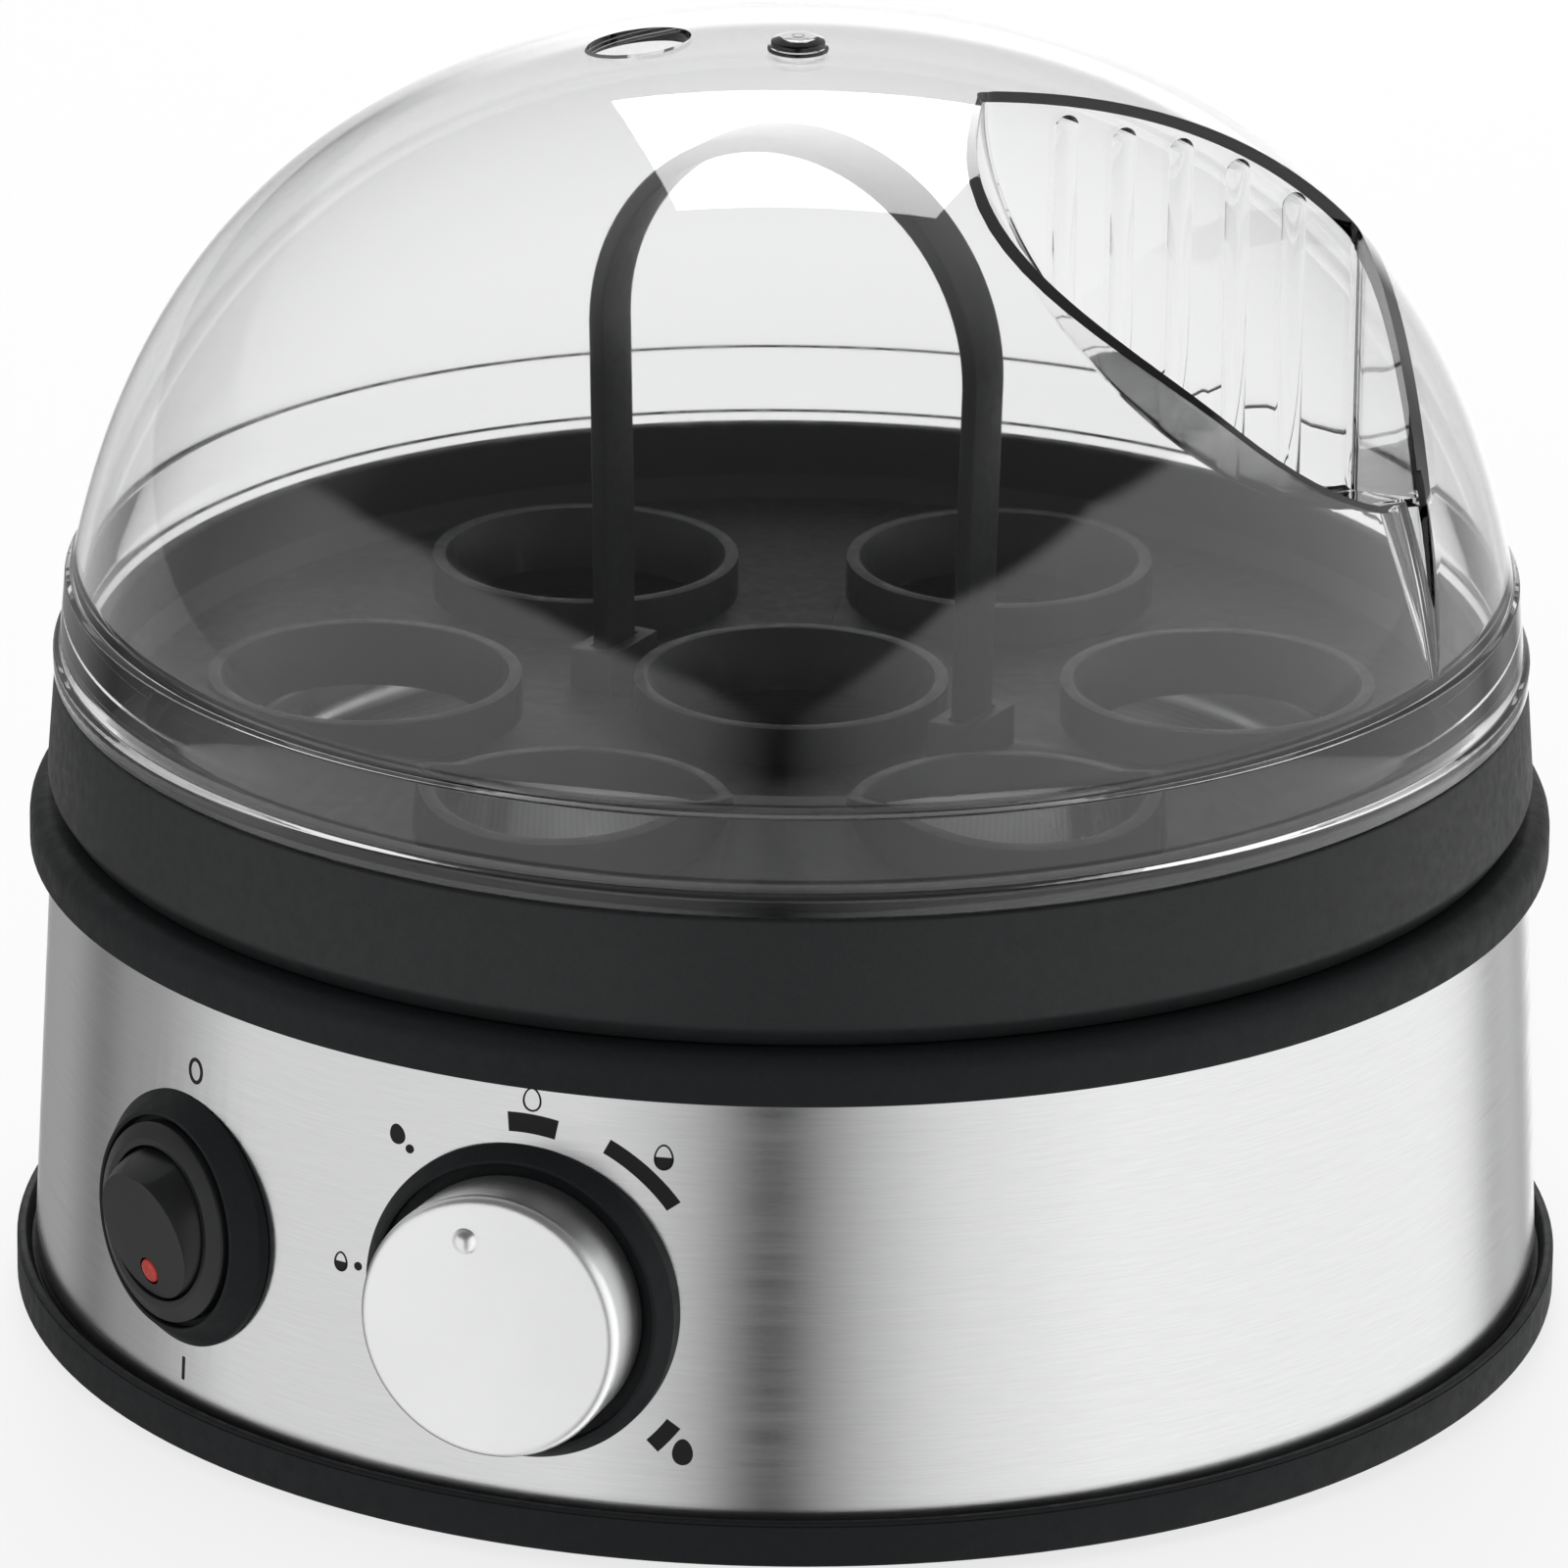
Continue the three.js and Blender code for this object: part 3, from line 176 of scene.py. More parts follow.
def rounded(corners, facets=4):
    """Outline points in which each corner (radius, height, fillet) is rounded by its fillet"""
    points = []
    for item, corner in enumerate(corners):
        here = Vector(corner[:2])
        fillet = corner[2] if len(corner) > 2 else 0
        if not fillet:
            points.append(here)
            continue
        before = Vector(corners[item - 1][:2])
        after = Vector(corners[(item + 1) % len(corners)][:2])
        to_before = (before - here).normalized()
        to_after = (after - here).normalized()
        half = to_before.angle(to_after) / 2
        reach = fillet / math.tan(half)
        centre = here + (to_before + to_after).normalized() * (fillet / math.sin(half))
        first = here + to_before * reach - centre
        last = here + to_after * reach - centre
        sweep = first.angle_signed(last)
        for step in range(facets + 1):
            angle = -sweep * step / facets
            turned_arm = Vector((first.x * math.cos(angle) - first.y * math.sin(angle),
                                 first.x * math.sin(angle) + first.y * math.cos(angle)))
            points.append(centre + turned_arm)
    return points


def turned_piece(name, corners, facets, fillet_facets=4):
    """Spins an outline of (radius, height, fillet) in millimetres round the Z axis"""
    outline = [Vector((max(point.x, 0.0), 0, point.y)) * MM for point in rounded(corners, fillet_facets)]
    on_axis = corners[0][0] == 0 and corners[-1][0] == 0
    if not on_axis:
        outline.append(outline[0].copy())
    piece = start_point(name)
    draw_chain(outline)
    bpy.ops.mesh.select_all(action="SELECT")
    bpy.ops.mesh.spin(steps=facets, angle=2 * math.pi, center=(0, 0, 0), axis=(0, 0, 1))
    tidy_mesh()
    return piece


def primitive(name, add, **values):
    """A primitive at its size, with its place in its mesh"""
    bpy.ops.object.select_all(action="DESELECT")
    add(**values)
    piece = bpy.context.object
    piece.name = name
    bpy.ops.object.transform_apply(location=True, rotation=True, scale=True)
    return piece


def plain_rod(name, radius, low, high, facets, place=(0, 0), top_radius=None):
    """A rod or cone in millimetres that joins or cuts another piece"""
    return primitive(
        name, bpy.ops.mesh.primitive_cone_add, vertices=facets, radius1=radius * MM,
        radius2=(top_radius or radius) * MM, depth=(high - low) * MM,
        location=(place[0] * MM, place[1] * MM, (low + high) / 2 * MM),
    )


def plain_block(name, width, depth, height, place):
    """A block in millimetres that joins or cuts another piece"""
    return primitive(name, bpy.ops.mesh.primitive_cube_add, size=1, location=Vector(place) * MM,
                     scale=Vector((width, depth, height)) * MM)


def plain_ball(name, radius, place, facets):
    """A ball in millimetres that joins or starts another piece"""
    return primitive(name, bpy.ops.mesh.primitive_uv_sphere_add, segments=facets, ring_count=facets // 2,
                     radius=radius * MM, location=Vector(place) * MM)


def only(piece):
    bpy.ops.object.select_all(action="DESELECT")
    piece.select_set(True)
    bpy.context.view_layer.objects.active = piece


def apply_modifier(piece, modifier):
    only(piece)
    bpy.ops.object.modifier_apply(modifier=modifier.name)


def combine(piece, tool, operation="DIFFERENCE"):
    """Cuts, joins or intersects a piece with another one, which is used up"""
    boolean = piece.modifiers.new(operation.title(), "BOOLEAN")
    boolean.operation = operation
    boolean.object = tool
    boolean.solver = "EXACT"
    apply_modifier(piece, boolean)
    bpy.data.objects.remove(tool, do_unlink=True)
    return piece


def placed(piece, matrix):
    """Sets a piece by a matrix and puts its place in its mesh"""
    only(piece)
    piece.matrix_world = matrix
    bpy.ops.object.transform_apply(location=True, rotation=True, scale=True)
    return piece


def joined(pieces, name):
    bpy.ops.object.select_all(action="DESELECT")
    for piece in pieces:
        piece.select_set(True)
    bpy.context.view_layer.objects.active = pieces[0]
    bpy.ops.object.join()
    whole = bpy.context.object
    whole.name = name
    whole.data.name = name
    return whole


def softened(piece, width, facets, limit):
    """Rounds a piece's sharp edges"""
    bevel = piece.modifiers.new("Edges", "BEVEL")
    bevel.width = width * MM
    bevel.segments = facets
    bevel.limit_method = "ANGLE"
    bevel.angle_limit = math.radians(limit)
    bevel.use_clamp_overlap = True
    apply_modifier(piece, bevel)
    return piece


def finished(piece, body, material, slot, *nodes, smooth=30):
    only(piece)
    bpy.ops.object.shade_smooth_by_angle(angle=math.radians(smooth))
    piece.data.materials.clear()
    piece.data.materials.append(material)
    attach(piece, body)
    if nodes:
        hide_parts(*nodes)
    return piece


# Places and curves

def at_angle(radius, degrees):
    """The place at a radius and an angle from +X"""
    angle = math.radians(degrees)
    return radius * math.cos(angle), radius * math.sin(angle)


def ring_places(radius, number, first=0):
    """Places evenly spaced round the Z axis, the first at an angle in degrees from +X"""
    return [at_angle(radius, first + 360 / number * item) for item in range(number)]


def curve_point(controls, share):
    """The point at a share of the cubic curve through four control points"""
    rest = 1 - share
    weights = (rest ** 3, 3 * rest * rest * share, 3 * rest * share * share, share ** 3)
    return sum((point * weight for point, weight in zip(controls, weights)), Vector((0, 0)))


# The band's taper and the frames of the controls on it

def band_radius(height):
    """Outer radius of the steel band at a height, both in millimetres"""
    props = sizes()
    low, high = props.base_height / MM, props.lip_foot / MM
    share = (height - low) / (high - low)
    return (props.band_foot + (props.band_head - props.band_foot) * share) / MM


def band_frame(angle, height):
    """Matrix whose +Z leaves the band square to its surface, with +Y up the band"""
    props = sizes()
    lean = math.atan2(props.band_foot - props.band_head, props.lip_foot - props.base_height)
    out = Vector((math.cos(lean) * math.cos(angle), math.cos(lean) * math.sin(angle), math.sin(lean)))
    side = UP.cross(out).normalized()
    radius = band_radius(height / MM) * MM
    place = Vector((radius * math.cos(angle), radius * math.sin(angle), height))
    axes = Matrix((side, out.cross(side), out)).transposed().to_4x4()
    return Matrix.Translation(place) @ axes


# Materials: each reads Object coordinates, so its pattern stays on the piece

class Finish:
    """A material on one Principled shader, with helpers for its pattern nodes"""

    def __init__(self, name, base, roughness, metallic=0.0, specular=0.5):
        self.material = bpy.data.materials.new(name)
        self.material.use_nodes = True
        self.nodes = self.material.node_tree.nodes
        self.links = self.material.node_tree.links
        self.shader = self.nodes["Principled BSDF"]
        self.base = tuple(base)
        self.shader.inputs["Base Color"].default_value = (*self.base, 1)
        self.shader.inputs["Roughness"].default_value = roughness
        self.shader.inputs["Metallic"].default_value = metallic
        self.shader.inputs["Specular IOR Level"].default_value = specular
        self.place = self.nodes.new("ShaderNodeTexCoord").outputs["Object"]

    def node(self, kind, **values):
        node = self.nodes.new(kind)
        for key, value in values.items():
            setattr(node, key, value)
        return node

    def stretched(self, scale):
        mapping = self.node("ShaderNodeMapping")
        mapping.inputs["Scale"].default_value = scale
        self.links.new(self.place, mapping.inputs["Vector"])
        return mapping.outputs["Vector"]

    def noise(self, scale, detail=3.0, source=None, roughness=0.5):
        noise = self.node("ShaderNodeTexNoise")
        noise.inputs["Scale"].default_value = scale
        noise.inputs["Detail"].default_value = detail
        noise.inputs["Roughness"].default_value = roughness
        self.links.new(source or self.place, noise.inputs["Vector"])
        return noise.outputs["Fac"]

    def spread(self, value, low, high):
        """A pattern value from 0 to 1 becomes a number from low to high"""
        spread = self.node("ShaderNodeMapRange")
        spread.inputs["From Min"].default_value = 0.25
        spread.inputs["From Max"].default_value = 0.75
        spread.inputs["To Min"].default_value = low
        spread.inputs["To Max"].default_value = high
        self.links.new(value, spread.inputs["Value"])
        return spread.outputs["Result"]

    def mottled(self, value, dark, light):
        """The colour varies with a pattern between two shares of the base colour"""
        mix = self.node("ShaderNodeMix", data_type="RGBA")
        mix.inputs["A"].default_value = (*[part * dark for part in self.base], 1)
        mix.inputs["B"].default_value = (*[min(part * light, 1.0) for part in self.base], 1)
        self.links.new(value, mix.inputs["Factor"])
        self.links.new(mix.outputs["Result"], self.shader.inputs["Base Color"])

    def rough(self, value, low, high):
        self.links.new(self.spread(value, low, high), self.shader.inputs["Roughness"])

    def bump(self, value, strength, depth):
        bump = self.node("ShaderNodeBump")
        bump.inputs["Strength"].default_value = strength
        bump.inputs["Distance"].default_value = depth
        self.links.new(value, bump.inputs["Height"])
        self.links.new(bump.outputs["Normal"], self.shader.inputs["Normal"])


def grained(name, base, roughness, specular, grain=1500.0, depth=0.00012):
    """A moulded grain with lighter and darker grains"""
    finish = Finish(name, base, roughness, specular=specular)
    grain_value = finish.noise(grain, 4.0, roughness=0.65)
    finish.mottled(grain_value, 0.75, 1.3)
    finish.rough(finish.noise(grain / 3), roughness - 0.07, roughness + 0.1)
    finish.bump(grain_value, 0.5, depth)
    return finish.material


def brushed(name, base, roughness):
    """Brushing lines that run round the piece: fine along Z, long round it"""
    across = Vector((160.0, 160.0, 5200.0))
    finish = Finish(name, base, roughness, metallic=1.0)
    around = finish.node("ShaderNodeTangent", direction_type="RADIAL", axis="Z")
    finish.links.new(around.outputs["Tangent"], finish.shader.inputs["Tangent"])
    finish.shader.inputs["Anisotropic"].default_value = 0.6
    finish.shader.inputs["Anisotropic Rotation"].default_value = 0.25
    lines = finish.noise(1.0, 5.0, finish.stretched(across), roughness=0.7)
    wide = finish.noise(1.0, 3.0, finish.stretched(across / 6))
    finish.mottled(lines, 0.88, 1.08)
    finish.rough(wide, roughness - 0.04, roughness + 0.05)
    finish.bump(lines, 0.2, 0.00004)
    return finish.material


def satin(name, base, roughness, metallic=0.0, grain=2600.0, specular=0.5):
    """A fine even grain"""
    finish = Finish(name, base, roughness, metallic=metallic, specular=specular)
    fine = finish.noise(grain, 3.0)
    finish.mottled(finish.noise(60.0), 0.95, 1.04)
    finish.rough(fine, roughness - 0.04, roughness + 0.05)
    finish.bump(fine, 0.25, 0.00004)
    return finish.material


def spun(name, base, roughness):
    """Turned rings about the Z axis"""
    finish = Finish(name, base, roughness, metallic=1.0)
    rings = finish.node("ShaderNodeTexWave", wave_type="RINGS", rings_direction="Z")
    rings.inputs["Scale"].default_value = 420.0
    rings.inputs["Distortion"].default_value = 0.6
    rings.inputs["Detail"].default_value = 2.0
    finish.links.new(finish.place, rings.inputs["Vector"])
    finish.mottled(rings.outputs["Fac"], 0.94, 1.04)
    finish.rough(finish.noise(90.0), roughness - 0.05, roughness + 0.08)
    finish.bump(rings.outputs["Fac"], 0.12, 0.00004)
    return finish.material


def clear_plastic(name):
    """Clear moulded plastic with faint waves"""
    finish = Finish(name, (0.98, 0.982, 0.982), 0.02)
    shader = finish.shader
    shader.inputs["Transmission Weight"].default_value = 1.0
    shader.inputs["IOR"].default_value = 1.5
    waves = finish.noise(26.0, 2.0)
    finish.rough(finish.noise(400.0), 0.01, 0.035)
    finish.bump(waves, 0.05, 0.0004)
    return finish.material


def lens(name, base):
    """A lens that glows faintly, with a pebbled face"""
    finish = Finish(name, base, 0.25)
    finish.mottled(finish.noise(1400.0), 0.45, 1.5)
    finish.rough(finish.noise(500.0), 0.18, 0.3)
    finish.bump(finish.noise(1500.0), 0.3, 0.00005)
    shader = finish.shader
    shader.inputs["Emission Color"].default_value = (*base, 1)
    shader.inputs["Emission Strength"].default_value = 0.1
    return finish.material


MADE = {}


def material(key, make, *values, **options):
    """Makes a material once and gives it to every piece that asks for it"""
    if key not in MADE:
        MADE[key] = make(key, *values, **options)
    return MADE[key]


def plastic():
    return material("grained_plastic", grained, finishes().grained_plastic, 0.5, 0.15)


def tray_plastic():
    return material("tray_plastic", grained, finishes().tray_plastic, 0.45, 0.25, grain=1900.0, depth=0.00004)


def steel():
    return material("brushed_steel", brushed, finishes().brushed_steel, 0.2)


def switch_black():
    return material("switch_black", satin, finishes().switch_black, 0.36, specular=0.38)


def rubber():
    return material("rubber", grained, (0.012, 0.012, 0.012), 0.75, 0.25, grain=1100.0)


# Base: sizes in millimetres, turns in degrees from +X

POST_CIRCLE = 84.35
SCREW_TURN = 20
FOOT_CIRCLE = 79
FOOT_TURN = 65
GLAND_AT = math.radians(90)
GLAND_HEIGHT = 0.02
BAND_HOLES = {"knob": 4.9, "switch": 11.5, "gland": 5.5}


class COOKER_OT_base_pan(bpy.types.Operator):
    """Base pan: ring, floor, bosses, screw holes and foot recesses"""
    bl_idname = "cooker.base_pan"
    bl_label = "Base pan"

    def execute(self, context):
        props = sizes()
        radius, height = props.base_radius / MM, props.base_height / MM
        groove = band_radius(4.1) + 0.4
        inner = band_radius(12) - 1.0
        seam = height - 0.5
        pan = turned_piece("pan_body", [
            (0, 0), (radius, 0, 0.4), (radius, seam, 0.12), (radius - 0.2, seam, 0.03),
            (radius - 0.2, seam + 0.1, 0.03), (radius - 0.06, seam + 0.1, 0.05),
            (radius - 0.3, height, 0.2), (radius - 1.1, height, 0.35), (groove, 4.1, 0.1), (inner, 4.1),
            (inner, 12, 0.4), (inner - 2.2, 12, 0.4), (inner - 2.2, 2.6, 1.5), (0, 2.6),
        ], props.ring_facets)
        for place in ring_places(POST_CIRCLE, 4, SCREW_TURN):
            combine(pan, plain_rod("boss", 5.3, 1.3, 6, props.tiny_facets, place), "UNION")
            combine(pan, plain_rod("hole", 1.9, -2, 8, props.tiny_facets, place))
            combine(pan, plain_rod("sink", 3.5, -2, 3.2, props.tiny_facets, place))
        for place in ring_places(FOOT_CIRCLE, 4, FOOT_TURN):
            combine(pan, plain_rod("recess", 6.8, -2, 1.3, props.tiny_facets, place))
        finished(pan, "base", plastic(), "grained_plastic", "base_pan")
        return {"FINISHED"}


class COOKER_OT_feet(bpy.types.Operator):
    """Rubber feet, one modelled and four placed"""
    bl_idname = "cooker.feet"
    bl_label = "Rubber feet"

    def execute(self, context):
        for item, place in enumerate(ring_places(FOOT_CIRCLE, 4, FOOT_TURN), 1):
            foot = turned_piece(f"rubber_foot_{item}", [
                (0, -1.7), (3.2, -1.7, 0.2), (3.6, -2, 0.15), (6.5, -2, 0.6), (6.5, 1, 0.2), (0, 1),
            ], sizes().tiny_facets)
            placed(foot, Matrix.Translation(Vector((*place, 0)) * MM))
            finished(foot, "base", rubber(), "rubber", f"foot_{item}")
        return {"FINISHED"}


class COOKER_OT_pan_screws(bpy.types.Operator):
    """Cross-head pan screws"""
    bl_idname = "cooker.pan_screws"
    bl_label = "Pan screws"

    def execute(self, context):
        zinc = material("zinc_plate", satin, (0.55, 0.56, 0.57), 0.35, metallic=1.0)
        for item, place in enumerate(ring_places(POST_CIRCLE, 4, SCREW_TURN), 1):
            screw = turned_piece(f"screw_{item}", [
                (0, 0.9), (3.2, 0.9, 0.7), (3.2, 2.9, 0.1), (1.6, 2.9, 0.1), (1.6, 16.4, 0.1),
                (1.1, 16.9), (0, 16.9),
            ], sizes().tiny_facets)
            combine(screw, plain_block("slot", 3.9, 0.8, 2.4, (0, 0, 0.6)))
            combine(screw, plain_block("slot", 0.8, 3.9, 2.4, (0, 0, 0.6)))
            placed(screw, Matrix.Translation(Vector((*place, 0)) * MM))
            finished(screw, "base", zinc, "plain_steel", f"pan_screw_{item}")
        return {"FINISHED"}


class COOKER_OT_steel_band(bpy.types.Operator):
    """Brushed steel band with its three holes"""
    bl_idname = "cooker.steel_band"
    bl_label = "Steel band"

    def execute(self, context):
        props = sizes()
        low, high = 4.4, props.lip_foot / MM + 2.2
        wall = props.band_wall / MM
        band = turned_piece("steel_band", [
            (band_radius(low), low), (band_radius(high), high),
            (band_radius(high) - wall, high), (band_radius(low) - wall, low),
        ], props.ring_facets)
        for angle, height, radius in ((props.knob_at, props.knob_height, BAND_HOLES["knob"]),
                                      (props.switch_at, props.switch_height, BAND_HOLES["switch"]),
                                      (GLAND_AT, GLAND_HEIGHT, BAND_HOLES["gland"])):
            hole = plain_rod("hole", radius, -5, 8, props.small_facets)
            combine(band, placed(hole, band_frame(angle, height)))
        finished(band, "base", steel(), "brushed_steel", "steel_shell")
        return {"FINISHED"}


class COOKER_OT_collar(bpy.types.Operator):
    """Collar: rounded lip over the band, ledge, bore ring and screw posts"""
    bl_idname = "cooker.collar"
    bl_label = "Collar"

    def execute(self, context):
        props = sizes()
        lip, foot, top = props.lip_radius / MM, props.lip_foot / MM, props.collar_top / MM
        head = foot + 2.5
        outer, inner = band_radius(foot) + 0.4, band_radius(head) - 1.0
        collar = turned_piece("collar_body", [
            (lip, foot, 0.25), (lip, top, 2.7), (81, top, 0.5), (81, top - 4, 0.2),
            (75, top - 4, 0.5), (75, top - 17), (77.6, top - 17), (77.6, top - 7.4), (83, top - 7.4),
            (83, top - 3.4), (inner - 2, top - 3.4), (inner - 2, top - 10.4), (inner, top - 10.4),
            (inner, head), (outer, head), (outer, foot, 0.2),
        ], props.ring_facets, 6)
        for place in ring_places(POST_CIRCLE, 4, SCREW_TURN):
            combine(collar, plain_rod("post", 4.2, 6.3, top - 5.7, props.tiny_facets, place), "UNION")
            combine(collar, plain_rod("pilot", 1.9, 4, 19.2, props.tiny_facets, place))
        finished(collar, "base", plastic(), "grained_plastic", "collar")
        return {"FINISHED"}


class COOKER_OT_heating_plate(bpy.types.Operator):
    """Pressed steel heating plate with its stud"""
    bl_idname = "cooker.heating_plate"
    bl_label = "Heating plate"

    def execute(self, context):
        plate = turned_piece("plate_dish", [
            (0, 50), (36, 49.4, 6), (38.6, 49.2, 3), (61, 49.2, 3), (72.4, 55.4, 5), (74, 60.6, 1.2),
            (80.4, 60.6, 0.3), (80.4, 61.4, 0.3), (73.2, 61.4, 1.6), (71.5, 56, 4), (60.6, 50, 3),
            (38.6, 50, 3), (36, 50.2, 6), (0, 50.8),
        ], sizes().ring_facets)
        combine(plate, plain_rod("stud", 2, 34.2, 50.2, sizes().tiny_facets), "UNION")
        dish = material("plate_steel", spun, finishes().plate_steel, 0.3)
        finished(plate, "base", dish, "plate_steel", "heating_plate")
        return {"FINISHED"}


class COOKER_OT_cord_gland(bpy.types.Operator):
    """Rubber gland at the rear"""
    bl_idname = "cooker.cord_gland"
    bl_label = "Cord gland"

    def execute(self, context):
        gland = turned_piece("gland_body", [
            (3.6, -4.6, 0.3), (5.2, -4.6, 0.3), (5.2, -1.2), (4.9, -0.9), (4.9, 0.62), (7.5, 0.62),
            (7.5, 2, 0.7), (5.2, 4, 0.8), (3.6, 4, 0.4),
        ], sizes().small_facets)
        placed(gland, band_frame(GLAND_AT, GLAND_HEIGHT))
        finished(gland, "base", rubber(), "rubber", "cord_gland")
        return {"FINISHED"}


# Controls, in millimetres. Heights are above the band's outer face, on the control's own axis
# The knob's pointer is a cap of a ball: its distance from the knob's axis, its radius and its centre's height
POINTER_PLACE = 10.8
POINTER_BALL = 1.714
POINTER_CENTRE = 10.086
# The rocker is a ball that turns about its pivot, cut by its face, its brow and its flat underside
ROCKER_BALL = 9.552
ROCKER_PIVOT = 0.85
ROCKER_FLAT = -4.75
ROCKER_FOOT = (-9.0, 3.75)
ROCKER_BROW = 6.4
ROCKER_RISE = math.radians(14.5)
ROCKER_DROP = math.radians(-62)
LENS_PLACE = (-0.24, 3.1)


def on_band(piece, angle, height, name):
    """Cuts away what a control piece has inside the band, and sets it on the band"""
    props = sizes()
    placed(piece, band_frame(angle, height))
    core = turned_piece("core", [
        (0, 0), (band_radius(0) + 0.12, 0), (band_radius(63) + 0.12, 63), (0, 63),
    ], props.ring_facets)
    combine(piece, core)
    piece.name = name
    piece.data.name = name
    return piece


def tilted_at(across, height, tilt):
    """Matrix of a plane on the switch, tilted about the line across it"""
    return Matrix.Translation(Vector((0, across, height)) * MM) @ Matrix.Rotation(tilt, 4, "X")


class COOKER_OT_knob_set(bpy.types.Operator):
    """Knob surround and satin knob with its raised pointer"""
    bl_idname = "cooker.knob_set"
    bl_label = "Knob and surround"

    def execute(self, context):
        props = sizes()
        bezel = turned_piece("knob_surround", [
            (4.9, -6), (19.3, -6), (19.3, 0.2, 0.2), (17.9, 2.4, 0.3), (17.4, 2.4, 0.2), (17.4, 0.9, 0.2),
            (4.9, 0.9, 0.2),
        ], props.small_facets * 2)
        on_band(bezel, props.knob_at, props.knob_height, "knob_surround")
        finished(bezel, "base", plastic(), "grained_plastic", "knob_bezel")

        radius = props.knob_radius / MM
        knob = turned_piece("knob_body", [
            (0, 10.7), (radius + 0.22, 10.7, 1.3), (radius, 1.5, 0.3), (radius - 2.2, 1.5, 0.3),
            (radius - 2.2, 7.9, 1), (5.6, 7.9, 0.5), (5.6, 4.3, 0.3), (0, 4.3),
        ], props.small_facets * 2, 6)
        combine(knob, plain_rod("bore", 3.3, 2, 7.9, props.tiny_facets))
        softened(knob, 0.1, 2, 30)
        angle = props.knob_turn + math.pi / 2
        place = (POINTER_PLACE * math.cos(angle), POINTER_PLACE * math.sin(angle), POINTER_CENTRE)
        combine(knob, plain_ball("pointer", POINTER_BALL, place, props.tiny_facets), "UNION")
        placed(knob, band_frame(props.knob_at, props.knob_height))
        silver = material("satin_silver", satin, finishes().satin_silver, 0.34, metallic=1.0, grain=3200.0)
        finished(knob, "knob", silver, "satin_silver", "knob")
        return {"FINISHED"}


class COOKER_OT_switch_set(bpy.types.Operator):
    """Switch surround, flange with its barrel, rocker and red lens"""
    bl_idname = "cooker.switch_set"
    bl_label = "Switch"

    def execute(self, context):
        props = sizes()
        bezel = turned_piece("switch_surround", [
            (11.5, -6), (15.65, -6), (15.65, 0.1, 0.2), (13.4, 2.7, 0.3), (12.9, 2.7, 0.2),
            (12.9, 1.4), (11.5, 1.4),
        ], props.small_facets * 2)
        on_band(bezel, props.switch_at, props.switch_height, "switch_surround")
        finished(bezel, "base", plastic(), "grained_plastic", "switch_bezel")

        stand = band_frame(props.switch_at, props.switch_height)
        body = turned_piece("switch_flange", [
            (0, -20.7), (11.2, -20.7, 0.4), (11.2, 1.7), (12.2, 1.7, 0.15), (12.2, 3.1, 0.35),
            (10.3, 4.05, 0.15), (9.4, 4.0, 0.2), (9.4, 3.0), (10.0, 1.7), (10.0, -8.45), (0, -8.45),
        ], props.small_facets * 2)
        for way in (-1, 0, 1):
            combine(body, plain_block("blade", 0.8, 6.3, 10, (way * 6.6, 0, -23.7)), "UNION")
        placed(body, stand)
        finished(body, "base", switch_black(), "gloss_black", "switch_body")

        rocker = plain_ball("rocker_body", ROCKER_BALL, (0, 0, ROCKER_PIVOT), props.small_facets)
        brow_height = ROCKER_FOOT[1] + (ROCKER_BROW - ROCKER_FOOT[0]) * math.tan(ROCKER_RISE)
        for tilt, across, height in ((ROCKER_RISE, *ROCKER_FOOT), (ROCKER_DROP, ROCKER_BROW, brow_height),
                                     (math.pi, 0, ROCKER_FLAT)):
            space = plain_block("space", 40, 40, 40, (0, 0, 20))
            combine(rocker, placed(space, tilted_at(across, height, tilt)))
        softened(rocker, 0.35, 4, 25)
        on_face = tilted_at(*ROCKER_FOOT, ROCKER_RISE)
        pocket = placed(plain_rod("pocket", 1.75, -2.1, 2, props.tiny_facets, LENS_PLACE), on_face)
        combine(rocker, pocket)
        placed(rocker, stand)
        finished(rocker, "rocker", switch_black(), "gloss_black", "rocker")

        glow = turned_piece("lens_body", [
            (0, -1.8), (1.5, -1.8, 0.1), (1.5, 0.1, 0.3), (0, 0.3),
        ], props.tiny_facets)
        placed(glow, stand @ on_face @ Matrix.Translation(Vector((*LENS_PLACE, 0)) * MM))
        red = material("red_lens", lens, finishes().red_lens)
        finished(glow, "rocker", red, "red_lens", "indicator_lens")
        return {"FINISHED"}


# Printed marks

def flat_bar(inner, outer, start, end):
    """A bent bar in the XY plane between two radii and two clockwise angles from straight up, in degrees"""
    bar = start_point("bar")
    first = math.radians(90 - start)
    bpy.ops.transform.translate(value=Vector((inner * math.cos(first), inner * math.sin(first), 0)) * MM)
    along = Vector((math.cos(first), math.sin(first), 0)) * ((outer - inner) * MM / 4)
    for _ in range(4):
        push_out(along)
    bpy.ops.mesh.select_all(action="SELECT")
    steps = max(4, int(abs(end - start) / 2.5))
    bpy.ops.mesh.spin(steps=steps, angle=math.radians(end - start), center=(0, 0, 0), axis=(0, 0, 1))
    tidy_mesh()
    return bar


